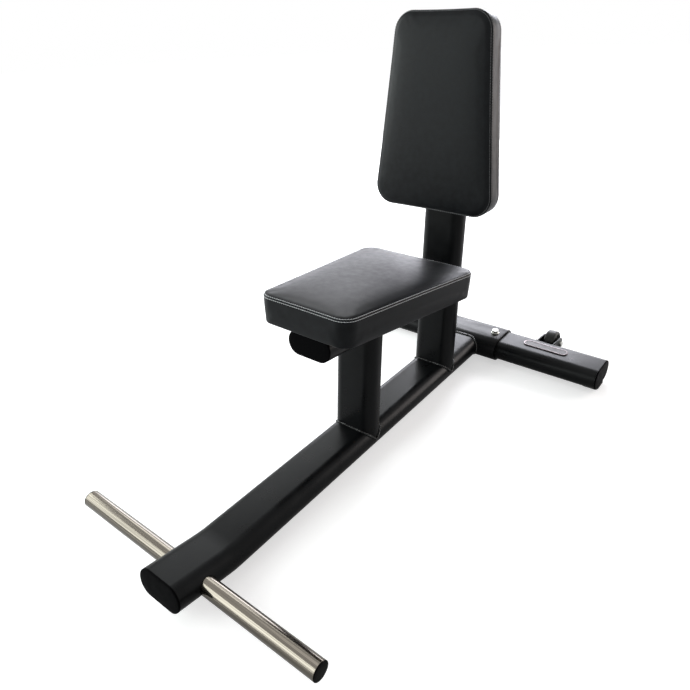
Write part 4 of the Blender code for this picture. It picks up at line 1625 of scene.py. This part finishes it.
    def inner_spots(self) -> list[Vector]:
        """Even rows of spots on the crown, seen from above, clear of its innermost ring.

        Returns:
            The spots.
        """
        step = self.grid
        row_step = step * math.sqrt(3) / 2
        clear = self.roll + self.top_steps[-1] + step * 0.6
        rows = int((self.length - 2 * clear) / row_step)
        start = (self.length - rows * row_step) / 2
        spots = []
        for row in range(rows + 1):
            y = start + row * row_step
            side = self.half_width(y) - clear / math.cos(self.flare)
            side -= max(max(clear, self.corner) - min(y, self.length - y), 0.0)
            count = int(side / step)
            shift = 0.5 * (row % 2)
            columns = [(i + shift) * step for i in range(-count, count + 1)]
            spots += [Vector((x, y)) for x in columns if abs(x) <= side]
        return spots


SEAT_STITCHES = WireRow("seat_stitches", SEAT_THREAD, 21, 0.006, 0.0047, 0.0007, 0.0009)
BACK_STITCHES = WireRow("back_stitches", BACK_THREAD, 23, 0.006, 0.0047, 0.0007, 0.0009)
STAPLES = WireRow("staples", STAPLE_STEEL, 22, 0.024, 0.010, 0.0006, 0.0007, 0.25)


@dataclass(frozen=True)
class Foam:
    """How foam fills a skin: a short cloth simulation under pressure, its movement capped."""

    cap: float = 0.0010
    pressure: float = 4.0
    frames: int = 20
    quality: int = 6
    stretch_stiffness: float = 12.0
    shear_stiffness: float = 5.0
    bending_stiffness: float = 2.0

    def fill(self, obj: bpy.types.Object, still: list[int]) -> float:
        """Puff a skin up from inside.

        Args:
            obj: The skin's object.
            still: Points that stay in place.

        Returns:
            The furthest that the simulation moved a point, before the cap.
        """
        scene = bpy.context.scene
        obj.vertex_groups.new(name="held").add(still, 1.0, "REPLACE")
        cloth = obj.modifiers.new("foam", "CLOTH")
        cloth.collision_settings.use_collision = False
        settings = cloth.settings
        settings.quality = self.quality
        settings.vertex_group_mass = "held"
        settings.use_pressure = True
        settings.uniform_pressure_force = self.pressure
        settings.effector_weights.gravity = 0.0
        settings.tension_stiffness = settings.compression_stiffness = self.stretch_stiffness
        settings.shear_stiffness = self.shear_stiffness
        settings.bending_stiffness = self.bending_stiffness
        scene.frame_start, scene.frame_end = 1, self.frames
        for number in range(1, self.frames + 1):
            scene.frame_set(number)
        graph = bpy.context.evaluated_depsgraph_get()
        moved = [vertex.co.copy() for vertex in obj.evaluated_get(graph).data.vertices]
        obj.modifiers.remove(cloth)
        scene.frame_set(1)
        furthest = 0.0
        for vertex, target in zip(obj.data.vertices, moved):
            step = target - vertex.co
            length = step.length
            furthest = max(furthest, length)
            # Tends to the cap and never passes it, so that the capped zone stays smooth.
            if length > 1e-9:
                step *= self.cap * math.tanh(length / self.cap) / length
            vertex.co = vertex.co + step
        return furthest


@dataclass
class Cushion:
    """An upholstered cushion: vinyl over foam on a plywood board, with a twin-stitched seam."""

    shop: Shop
    kind: str
    shape: PadShape
    place: Matrix
    plates: tuple[str, str]
    plate_thickness: float
    plate_length: float
    plate_insets: tuple[float, float]
    stitches: WireRow
    foam: Foam = Foam()
    stitch_spacing: float = 0.0030
    stitch_proud: float = 0.0001
    turn_in: float = 0.021
    turn_in_thickness: float = 0.0008
    turn_in_overlap: float = 0.003
    waves: tuple[tuple[float, float, float], ...] = ((0.0016, 0.7, 0.0), (0.0011, 0.31, 1.0))
    bolt: HexBolt = HexBolt(0.008, 0.013, 0.0055, 0.011, 0.018, 0.0016)
    bolt_margin: float = 0.020

    @property
    def spot(self) -> Matrix:
        """Place of the board's underside, on its plates."""
        return self.place @ seat_at((0, 0, 2 * GAP + self.plate_thickness))

    def skin(self) -> tuple[Mesh, list[int]]:
        """The cushion before it is puffed up, open downwards round its board.

        Returns:
            The closed mesh, and the points that stay in place.
        """
        shape = self.shape
        pocket = shape.outline(shape.board_margin - GAP)
        rings = [flat_ring(pocket, shape.board_thickness + GAP), flat_ring(pocket, 0)]
        held = [True, True]
        for inset, z, draw_in, still in shape.rows():
            rings.append(flat_ring(shape.outline(inset, draw_in), z))
            held.append(still)
        rings += shape.top_rings()
        mesh = bpy.data.meshes.new(f"{self.kind}_skin")
        bm = bmesh.new()
        loops = [[bm.verts.new(point) for point in ring] for ring in rings]
        count = len(pocket)
        for lower, upper in zip(loops, loops[1:]):
            skin_faces(bm, lower, upper)
        bm.faces.new(loops[0])
        self.fill_top(bm, loops[-1])
        bmesh.ops.recalc_face_normals(bm, faces=bm.faces[:])
        bm.verts.index_update()
        crease = bm.edges.layers.float.new("crease_edge")
        for loop in loops[:2]:
            for i in range(count):
                bm.edges.get((loop[i], loop[(i + 1) % count]))[crease] = 1.0
        bm.to_mesh(mesh)
        bm.free()
        still = [n * count + i for n, keep in enumerate(held) if keep for i in range(count)]
        return mesh, still

    def fill_top(self, bm: bmesh.types.BMesh, loop: list[bmesh.types.BMVert]) -> None:
        """Fill the innermost ring with even triangles that follow the crown.

        Args:
            bm: The mesh.
            loop: The ring.
        """
        spots = [vertex.co.xy for vertex in loop] + self.shape.inner_spots()
        ring = [list(range(len(loop)))]
        points, _, faces, sources, _, _ = delaunay_2d_cdt(spots, [], ring, 1, 1e-7)
        vertices = []
        for point, source in zip(points, sources):
            if source and source[0] < len(loop):
                vertices.append(loop[source[0]])
            else:
                spot = (point.x, point.y, self.shape.top_height(point.x, point.y))
                vertices.append(bm.verts.new(spot))
        for face in faces:
            bm.faces.new([vertices[i] for i in face])

    def puffed(self, mesh: Mesh, still: list[int]) -> Mesh:
        """Args:
            mesh: The skin.
            still: Points that stay in place.

        Returns:
            The puffed skin, once subdivided.
        """
        obj = new_object(f"{self.kind}_skin", mesh)
        pushed = self.foam.fill(obj, still)
        LOG.info("%s cushion: foam pushed its skin out by up to %.4f m", self.kind, pushed)
        finer = obj.modifiers.new("finer", "SUBSURF")
        finer.levels = finer.render_levels = 1
        return baked(obj)

    def stitch(self, skin: Mesh) -> None:
        """Run a row of stitches on each side of the top seam.

        Args:
            skin: The finished skin.
        """
        bm = bmesh.new()
        bm.from_mesh(skin)
        tree = BVHTree.FromBMesh(bm)
        bm.free()
        shape = self.shape
        turn = self.stitch_spacing / shape.roll
        for word, angle in (("outer", shape.seam_angle - turn), ("inner", shape.seam_angle + turn)):
            inset, height = shape.roll_point(angle)
            points, facings = [], []
            for x, y in shape.outline(inset, shape.draw_in):
                spot, normal, _, _ = tree.find_nearest(Vector((x, y, height)))
                points.append(spot + normal * self.stitch_proud)
                facings.append(normal)
            mesh = self.stitches.lay(points, facings)
            self.shop.add(f"{self.kind}_{word}_stitches", mesh, self.stitches.finish, self.spot)

    def wavy_outline(self) -> Outline:
        """The trimmed edge of the turned-in vinyl, cut by hand and so a little uneven.

        Returns:
            The outline.
        """
        centre = Vector((0, self.shape.length / 2))
        points = []
        for i, corner in enumerate(self.shape.outline(self.shape.board_margin + self.turn_in)):
            wave = sum(height * math.sin(i * rate + lead) for height, rate, lead in self.waves)
            spot = Vector(corner)
            points.append(tuple(spot + (centre - spot).normalized() * wave))
        return points

    def make_underside(self) -> None:
        """The vinyl turned in under the board, and the staples that hold it."""
        shape = self.shape
        low, high = -self.turn_in_thickness, -GAP / 3
        outer = shape.outline(shape.board_margin - self.turn_in_overlap)
        middle = shape.outline(shape.board_margin + self.turn_in * 0.5)
        wavy = self.wavy_outline()
        rows = ((outer, low * 0.6), (outer, high), (wavy, high), (wavy, low * 0.5), (middle, low))
        mesh = loft([flat_ring(outline, z) for outline, z in rows])
        self.shop.add(f"{self.kind}_turned_in_vinyl", mesh, PAD_VINYL, self.spot)
        points = flat_ring(middle, low)
        staples = STAPLES.lay(points, [Vector((0, 0, -1))] * len(points))
        self.shop.add(f"{self.kind}_staples", staples, STAPLE_STEEL, self.spot)

    def make_bolts(self) -> None:
        """Four flanged bolts through the plates into the board."""
        reach = self.plate_length / 2 - self.bolt_margin
        stations = (self.plate_insets[0], self.shape.length - self.plate_insets[1])
        spots = [(side * reach, station) for station in stations for side in (1, -1)]
        bolt = replace(self.bolt, length=self.plate_thickness + 2 * GAP + self.bolt.length)
        for number in range(1, 5):
            node = f"{self.kind}_bolt_{number}"
            low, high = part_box(node)
            middle = self.place.inverted() @ ((low + high) / 2)
            x, y = min(spots, key=lambda spot: abs(spot[0] - middle.x) + abs(spot[1] - middle.y))
            place = self.place @ seat_at((x, y, 0), UPSIDE_DOWN)
            name = f"{self.kind}_flange_bolt_{number}"
            self.shop.add(name, bolt.mesh(), BOLT_ZINC, place, node)

    def build(self) -> None:
        """Make the cushion, its seam and its underside."""
        mesh = self.puffed(*self.skin())
        self.stitch(mesh)
        name, node = f"{self.kind}_cushion", f"{self.kind}_pad"
        cushion = self.shop.add(name, mesh, PAD_VINYL, self.spot, node)
        self.make_underside()
        self.make_bolts()
        self.shop.dress(f"{self.kind}_board", BOARD_PLY)
        for plate in self.plates:
            self.shop.dress(f"{self.kind}_plate_{plate}", FRAME_COAT)


@dataclass
class RearCrossbar:
    """The crossbar with its welded sleeve, caps, bolts, blank badge and rubber feet."""

    shop: Shop
    length: float = 0.854
    sleeve_length: float = 0.236
    sleeve_wall: float = 0.006
    sleeve_fit: float = 0.0005
    sleeve_ease: float = 0.0007
    bolt_reach: float = 0.090
    bolt_clearance: float = 0.0005
    drill_length: float = 0.024
    washer_radius: float = 0.012
    washer_thickness: float = 0.0022
    washer_ease: float = 0.0004
    bolt: HexBolt = HexBolt(0.012, 0.0185, 0.0075, 0.0255)
    badge_length: float = 0.135
    badge_width: float = 0.029
    badge_thickness: float = 0.003
    badge_corner: float = 0.0125
    badge_rim: float = 0.0024
    badge_recess: float = 0.0009
    badge_x: float = 0.2545
    badge_setback: float = 0.006
    foot_length: float = 0.050
    foot_width: float = 0.056
    foot_corner: float = 0.010
    foot_edge: tuple = ((0.0023, 0.0), (0.0017, 0.0008), (0.0, 0.003))
    foot_x: float = 0.4065
    front_foot_station: float = 0.135
    screw_radius: float = 0.0033
    screw_recess_radius: float = 0.0065
    screw_recess_length: float = 0.012
    cap: TubeCap = TubeCap()

    @property
    def sleeve(self) -> OvalTube:
        """The sleeve's section."""
        grow = 2 * (self.sleeve_fit + self.sleeve_wall)
        return OvalTube(TUBE.width + grow, TUBE.height + grow, self.sleeve_wall)

    @property
    def bore(self) -> float:
        """Radius of the holes for the bolts."""
        return self.bolt.diameter / 2 + self.bolt_clearance

    def bolted(self, rings: Rings, height: float) -> Mesh:
        """Skin a tube and drill both bolt holes in its top.

        Args:
            rings: The tube's rings.
            height: Height of its top over its axis.

        Returns:
            The mesh, along Z and with Y up.
        """
        spots = [(0, height, side.value * self.bolt_reach) for side in Side]
        holes = [rod(self.bore, self.drill_length, seat_at(spot, ALONG_BENCH)) for spot in spots]
        return drilled(loft(rings), holes)

    def make_tubes(self) -> None:
        """The crossbar, the sleeve round it and the crossbar's caps."""
        half, ends = self.length / 2, self.sleeve_length / 2
        place = LAYOUT.crossbar_middle @ seat_at(rotation=ALONG_CROSSBAR)
        outer, inner = TUBE.outline(), TUBE.outline(TUBE.wall)
        rows = ((outer, -half), (outer, half), (inner, half), (inner, -half))
        mesh = self.bolted([flat_ring(outline, z) for outline, z in rows], TUBE.half)
        self.shop.add("crossbar_tube", mesh, FRAME_COAT, place, "rear_crossbar")

        sleeve, ease, fine = self.sleeve, self.sleeve_ease, self.sleeve_ease * 0.3
        edge = [(sleeve.wall, -ends), (ease, -ends), (fine, fine - ends), (0.0, ease - ends)]
        edge += [(inset, -z) for inset, z in reversed(edge)]
        rings = [flat_ring(sleeve.outline(inset), z) for inset, z in edge]
        mesh = self.bolted(rings, sleeve.half)
        self.shop.add("sleeve_plate", mesh, FRAME_COAT, place, "rear_sleeve")
        for side in Side:
            turned = (QUARTER_TURN, 0, side.value * QUARTER_TURN)
            spot = LAYOUT.crossbar_middle @ seat_at((side.value * half, 0, 0), turned)
            name, node = f"crossbar_end_cap_{side.word}", f"crossbar_cap_{side.word}"
            self.shop.add(name, self.cap.mesh(), CAP_PLASTIC, spot, node)

    def make_bolts(self) -> None:
        """A bolt with its washer on each end of the sleeve."""
        bottom, top, ease = self.sleeve.half + GAP, self.washer_thickness, self.washer_ease
        outer = self.washer_radius
        profile = [(self.bore, 0), (outer, 0), (outer, top - ease), (outer - ease, top)]
        profile.append((self.bore, top))
        for side in Side:
            x = side.value * self.bolt_reach
            for piece, kind, mesh, z in (
                ("flat_washer", "washer", loft(turned_rings(profile)), bottom),
                ("hex_bolt", "bolt", self.bolt.mesh(), bottom + top + GAP),
            ):
                place = LAYOUT.crossbar_middle @ seat_at((x, 0, z))
                name, node = f"sleeve_{piece}_{side.word}", f"sleeve_{kind}_{side.word}"
                self.shop.add(name, mesh, BOLT_ZINC, place, node)
            self.shop.dress(f"sleeve_nut_{side.word}", BOLT_ZINC)

    def make_badge(self) -> None:
        """A blank plate with a raised rim round its lacquered field."""
        rim, thickness = self.badge_rim, self.badge_thickness
        edge = rim / 5
        rows = [(0.0, 0.0), (0.0, thickness - edge), (edge * 0.3, thickness - edge * 0.3)]
        rows += [(edge, thickness), (rim - edge, thickness), (rim, thickness - edge)]
        rows.append((rim + edge, thickness - self.badge_recess))
        rings = plate_rings(self.badge_length, self.badge_width, self.badge_corner, rows)
        spot = (self.badge_x, LAYOUT.crossbar + self.badge_setback, TUBE.height + GAP)
        mesh = loft(rings, joined=False)
        place = LAYOUT.bench @ seat_at(spot)
        badge = self.shop.add("blank_badge", mesh, BADGE_METAL, place, "badge_plate")
        badge.data.materials.append(BADGE_LACQUER.material())
        field_face = max(badge.data.polygons, key=lambda face: face.area * face.normal.z)
        field_face.material_index = 1

    def make_feet(self) -> None:
        """The three rubber feet, each with a countersunk screw that stays from the CAD."""
        bottom = -LAYOUT.foot_height
        front = seat_at((0, self.front_foot_station, 0), (0, 0, QUARTER_TURN))
        places = {"front_foot": LAYOUT.bench @ front}
        for side in Side:
            spot = (side.value * self.foot_x, 0, -TUBE.half)
            places[f"rear_foot_{side.word}"] = LAYOUT.crossbar_middle @ seat_at(spot)
        rows = [(inset, bottom + z) for inset, z in self.foot_edge] + [(0.0, -GAP)]
        for node, place in places.items():
            rings = plate_rings(self.foot_length, self.foot_width, self.foot_corner, rows)
            cuts = [rod(self.screw_radius, 4 * LAYOUT.foot_height, Matrix())]
            recess = seat_at((0, 0, bottom))
            cuts.append(rod(self.screw_recess_radius, self.screw_recess_length, recess))
            mesh = drilled(loft(rings, joined=False), cuts)
            self.shop.add(f"{node}_pad", mesh, FOOT_RUBBER, place, node)
            self.shop.dress(f"{node}_screw", BOLT_ZINC)

    def build(self) -> None:
        """Make everything on the crossbar but the wheels."""
        self.make_tubes()
        self.make_bolts()
        self.make_badge()
        self.make_feet()


@dataclass
class TransportWheel:
    """A rubber wheel on a nylon bush and an axle bolt, between two welded side plates."""

    shop: Shop
    side: Side
    x: float = 0.237
    setback: float = 0.106
    height: float = 0.030
    radius: float = 0.036
    tread: float = 0.033
    shoulder: float = 0.006
    shoulder_steps: int = 8
    rim_depth: float = 0.010
    web: float = 0.016
    hub: float = 0.015
    ease: float = 0.0015
    hub_ease: float = 0.0012
    lip: tuple[float, float] = (0.0025, 0.001)
    parting_line: float = 0.0004
    span: float = 0.056
    plate: float = 0.005
    plate_ease: float = 0.005 / 9
    drill_length: float = 0.020
    eye: float = 0.019
    spread: float = math.radians(52.0)
    bush: float = 0.008
    axle: float = 0.005
    flats: float = 0.016
    head: float = 0.0065
    nut: float = 0.009
    tail: float = 0.002
    weld: WeldBead = WeldBead("bracket_weld", WELD_COAT, 13, 0.0020, 0.0028, 0.18)
    weld_proud: float = 0.0006

    @property
    def place(self) -> Matrix:
        """The axle's frame: Z along the axle, X back and Y up."""
        spot = (self.side.value * self.x, LAYOUT.crossbar + self.setback, self.height)
        return LAYOUT.bench @ seat_at(spot, ALONG_CROSSBAR)

    def wheel_mesh(self) -> Mesh:
        """The wheel about Z: tyre with round shoulders, sunk web and longer hub.

        Returns:
            The mesh.
        """
        face = self.span / 2 - self.plate - 2 * GAP
        tread, web, ease = self.tread / 2, self.web / 2, self.ease
        rim = self.radius - self.rim_depth
        lip_width, lip_drop = self.lip
        half = [
            (self.bush + GAP, face),
            (self.hub - self.hub_ease, face),
            (self.hub, face - self.hub_ease),
            (self.hub, web + ease),
            (self.hub + ease, web),
            (rim - ease, web),
            (rim, web + ease),
            (rim + ease, tread - lip_drop),
            (rim + lip_width, tread),
        ]
        for inset, drop in quarter_round(self.shoulder, self.shoulder_steps):
            half.append((self.radius - drop, tread - inset))
        line = self.parting_line
        parting = [(self.radius, line), (self.radius + line, 0.0), (self.radius, -line)]
        other = [(radius, -z) for radius, z in reversed(half)]
        return loft(turned_rings(half + parting + other))

    def bracket_outline(self) -> Outline:
        """A side plate: a round eye, straight edges and a cope on the crossbar.

        Returns:
            The outline, in the axle's frame.
        """
        centre = (TUBE.reach - self.setback, TUBE.half - self.height)
        facing = math.atan2(-centre[1], -centre[0])
        start, end = facing + self.spread, facing - self.spread
        cope = arc(centre, TUBE.half + GAP, start, end, HALF_ROUND_STEPS)
        top, low = Vector(cope[0]), Vector(cope[-1])
        eye_top = math.atan2(top.y, top.x) - math.acos(self.eye / top.length)
        eye_low = math.atan2(low.y, low.x) + math.acos(self.eye / low.length)
        return arc((0, 0), self.eye, eye_low, eye_top, 2 * HALF_ROUND_STEPS) + cope

    def eased_plate(self, outline: Outline) -> Mesh:
        """The outline as a plate on the XY plane with its edges broken and its hole drilled.

        Args:
            outline: Its outline.

        Returns:
            The mesh.
        """
        mesh = loft([flat_ring(outline, z) for z in (0, self.plate)], joined=False)
        hole = rod(self.axle + GAP, self.drill_length, Matrix())
        holder = new_object("plate", drilled(mesh, [hole]))
        ease = holder.modifiers.new("ease", "BEVEL")
        ease.width = self.plate_ease
        ease.segments = 2
        ease.limit_method = "ANGLE"
        ease.angle_limit = math.radians(50.0)
        return baked(holder)

    def make_plates(self) -> None:
        """Both side plates with their welds to the crossbar."""
        word = self.side.word
        outline = self.bracket_outline()
        cope = outline[-(HALF_ROUND_STEPS + 1) :]
        ends = {"outer": self.side.value, "inner": -self.side.value}
        for face, end in ends.items():
            z = self.span / 2 - self.plate if end > 0 else -self.span / 2
            place = self.place @ seat_at((0, 0, z))
            name, node = f"{face}_wheel_plate_{word}", f"wheel_bracket_{word}_{face}"
            self.shop.add(name, self.eased_plate(outline), FRAME_COAT, place, node)
            edge = self.plate + self.weld_proud if end > 0 else -self.weld_proud
            bead = self.weld.lay(flat_ring(cope, edge), closed=False)
            self.shop.add(f"{face}_wheel_plate_weld_{word}", bead, WELD_COAT, place)

    def build(self) -> None:
        """Make the wheel, its bush, plates, axle bolt and nut."""
        word = self.side.word
        wheel = self.wheel_mesh()
        self.shop.add(f"transport_wheel_{word}", wheel, TYRE_RUBBER, self.place, f"wheel_{word}")
        reach, bore = self.span / 2 - self.plate - GAP, self.axle + GAP
        profile = [(bore, -reach), (self.bush, -reach), (self.bush, reach), (bore, reach)]
        bush = loft(turned_rings(profile))
        self.shop.add(f"axle_bush_{word}", bush, BUSH_NYLON, self.place, f"wheel_bush_{word}")
        self.make_plates()
        face = self.span / 2 + GAP
        length = 2 * face + GAP + self.nut + self.tail
        bolt = HexBolt(2 * self.axle, self.flats, self.head, length).mesh()
        nut = HexNut(self.flats, 2 * bore, self.nut).mesh()
        left = self.side is Side.LEFT
        turned = (0, 0, 0) if left else UPSIDE_DOWN
        place = self.place @ seat_at((0, 0, self.side.value * face), turned)
        self.shop.add(f"axle_hex_bolt_{word}", bolt, BOLT_ZINC, place, f"axle_bolt_{word}")
        place = self.place @ seat_at((0, 0, -face - self.nut if left else face))
        self.shop.add(f"axle_hex_nut_{word}", nut, BOLT_ZINC, place, f"axle_nut_{word}")


# Studio


@dataclass(frozen=True)
class Lamp:
    """A soft rectangular lamp."""

    name: str
    place: tuple[float, float, float]
    aim: tuple[float, float, float]
    size: tuple[float, float]
    power: float
    colour: str = "#ffffff"

    def build(self) -> None:
        """Hang the lamp and point it."""
        data = bpy.data.lights.new(self.name, "AREA")
        data.shape = "RECTANGLE"
        data.size, data.size_y = self.size
        data.energy = self.power
        data.color = linear(self.colour)[:3]
        lamp = new_object(self.name, data)
        lamp.location = self.place
        direction = Vector(self.aim) - Vector(self.place)
        lamp.rotation_euler = direction.to_track_quat("-Z", "Y").to_euler()


@dataclass
class Studio:
    """Camera at the photograph's angle, pale floor, white surroundings and soft lamps."""

    eye: tuple[float, float, float] = (0.80246, -1.04094, 1.03023)
    yaw: float = 0.6675
    pitch: float = 0.4726
    roll: float = -0.0428
    lens: float = 31.624
    sensor: float = 36.0
    shift: tuple[float, float] = (-0.02574, -0.04752)
    clip: tuple[float, float] = (0.01, 100.0)
    ambient: float = 0.25
    floor_colour: str = "#dcdcdc"
    floor_roughness: float = 0.9
    floor_specular: float = 0.1
    floor_lift: tuple[float, float] = (0.55, 0.9)
    mirrored_lift: float = 0.2
    floor_lift_reach: tuple[float, float] = (1.0, 4.0)
    floor_radius: float = 14.0
    lamps: tuple[Lamp, ...] = (
        Lamp("rear_softbox", (-1.6, 3.4, 0.8), (-0.3, 0.2, 0.45), (4.6, 1.2), 105.0, "#f3f3fd"),
        Lamp("rear_window", (-1.0, 3.2, 1.7), (0.1, 0.4, 0.3), (1.4, 1.0), 72.0, "#f3f4fd"),
        Lamp("high_softbox", (-2.4, 2.6, 2.8), (0.0, 0.0, 0.1), (2.8, 1.6), 45.0, "#f4f8f8"),
        Lamp("top_softbox", (-0.4, -0.2, 3.2), (0.0, 0.0, 0.3), (2.0, 2.0), 10.0),
        Lamp("side_softbox", (-3.1, -0.5, 1.4), (0.0, 0.1, 0.7), (1.6, 2.0), 80.0, "#f2f9f7"),
        Lamp("front_softbox", (-1.6, -2.4, 1.5), (0.0, 0.5, 0.8), (3.0, 2.0), 72.0, "#f2f9f7"),
        Lamp("right_softbox", (2.1, 3.1, 1.1), (0.1, 0.1, 0.6), (2.0, 2.0), 90.0, "#faf0ec"),
    )

    def make_camera(self) -> None:
        """Set the camera as it stood in the photograph."""
        sine, cosine = math.sin(self.yaw), math.cos(self.yaw)
        level = math.cos(self.pitch)
        forward = Vector((-sine * level, cosine * level, -math.sin(self.pitch)))
        right = Vector((cosine, sine, 0))
        up = right.cross(forward)
        turned_right = right * math.cos(self.roll) + up * math.sin(self.roll)
        turned_up = up * math.cos(self.roll) - right * math.sin(self.roll)
        data = bpy.data.cameras.new("photo_camera")
        data.sensor_width = self.sensor
        data.lens = self.lens
        data.shift_x, data.shift_y = self.shift
        data.clip_start, data.clip_end = self.clip
        camera = new_object("photo_camera", data)
        axes = Matrix((turned_right, turned_up, -forward)).transposed()
        camera.matrix_world = Matrix.Translation(self.eye) @ axes.to_4x4()
        bpy.context.scene.camera = camera

    def seen(self, tree: Tree, mirrored: float) -> Socket:
        """One where the camera looks, less in a reflection or through glass, else zero.

        Args:
            tree: The tree that asks.
            mirrored: The value that a reflection or a view through glass gets.

        Returns:
            The value socket.
        """
        path = add_node(tree, "ShaderNodeLightPath")
        rays = [path.outputs[f"Is {kind} Ray"] for kind in ("Camera", "Glossy", "Transmission")]
        value = rays[1]
        steps = (("MAXIMUM", rays[2]), ("MULTIPLY", mirrored), ("MAXIMUM", rays[0]))
        for operation, other in steps:
            links = {0: value, 1: other}
            value = add_node(tree, "ShaderNodeMath", links, operation=operation).outputs[0]
        return value

    def make_world(self) -> None:
        """White wherever it is looked at, and a plain soft light for everything else."""
        world = bpy.data.worlds.new("white_studio")
        bpy.context.scene.world = world
        world.use_nodes = True
        tree = world.node_tree
        sky = tree.nodes["Background"]
        sky.inputs["Color"].default_value = linear("#ffffff")
        links = {"Value": self.seen(tree, 1.0), "To Min": self.ambient, "To Max": 1.0}
        strength = add_node(tree, "ShaderNodeMapRange", links)
        tree.links.new(strength.outputs["Result"], sky.inputs["Strength"])

    def make_floor(self) -> None:
        """A pale matt floor that shows white but keeps the object's shadow."""
        mesh = bpy.data.meshes.new("floor")
        mesh.from_pydata(
            flat_ring(circle(self.floor_radius), 0), [], [tuple(range(RING_STEPS))]
        )
        material = bpy.data.materials.new("pale_matt_floor")
        material.use_nodes = True
        tree = material.node_tree
        shader = tree.nodes["Principled BSDF"]
        shader.inputs["Base Color"].default_value = linear(self.floor_colour)
        shader.inputs["Roughness"].default_value = self.floor_roughness
        shader.inputs["Specular IOR Level"].default_value = self.floor_specular
        shader.inputs["Emission Color"].default_value = linear("#ffffff")
        # Far from the lamps the floor would turn grey, so that its lift grows with distance.
        links = {0: add_node(tree, "ShaderNodeTexCoord").outputs["Object"]}
        away = add_node(tree, "ShaderNodeVectorMath", links, operation="LENGTH")
        near, far = self.floor_lift
        start, end = self.floor_lift_reach
        links = {"Value": away.outputs["Value"], "From Min": start, "From Max": end}
        links.update({"To Min": near, "To Max": far})
        lifts = add_node(tree, "ShaderNodeMapRange", links)
        # The lamps make the floor nearly white by themselves, which is enough for reflections.
        links = {0: self.seen(tree, self.mirrored_lift), 1: lifts.outputs["Result"]}
        lift = add_node(tree, "ShaderNodeMath", links, operation="MULTIPLY")
        tree.links.new(lift.outputs[0], shader.inputs["Emission Strength"])
        mesh.materials.append(material)
        floor = new_object("floor", mesh)

    def build(self) -> None:
        """Set up the camera, the surroundings, the floor and the lamps."""
        self.make_camera()
        self.make_world()
        self.make_floor()
        for lamp in self.lamps:
            lamp.build()
        bpy.context.scene.view_settings.view_transform = "Standard"


def main() -> None:
    """Build the bench round the loaded frame."""
    logging.basicConfig(level=logging.INFO, format="%(name)s: %(message)s")
    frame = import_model()
    Studio().build()
    shop = Shop(frame)
    TubeFrame(shop).build()
    Footrest(shop).build()
    Cushion(
        shop,
        kind="seat",
        shape=PadShape(narrow=0.252, wide=0.344, length=0.471, corner=0.038, depth=0.069),
        place=LAYOUT.seat,
        plates=("front", "rear"),
        plate_thickness=0.003,
        plate_length=0.200,
        plate_insets=(0.115, 0.096),
        stitches=SEAT_STITCHES,
    ).build()
    Cushion(
        shop,
        kind="back",
        shape=PadShape(
            narrow=0.258,
            wide=0.356,
            length=0.474,
            corner=0.051,
            depth=0.060,
            crown=0.0085,
            roll=0.013,
        ),
        place=LAYOUT.back,
        plates=("upper", "lower"),
        plate_thickness=0.006,
        plate_length=0.210,
        plate_insets=(0.120, 0.109),
        stitches=BACK_STITCHES,
    ).build()
    RearCrossbar(shop).build()
    for side in Side:
        TransportWheel(shop, side).build()
    LOG.info("%d pieces made", len(shop.made))


if __name__ == "__main__":
    main()
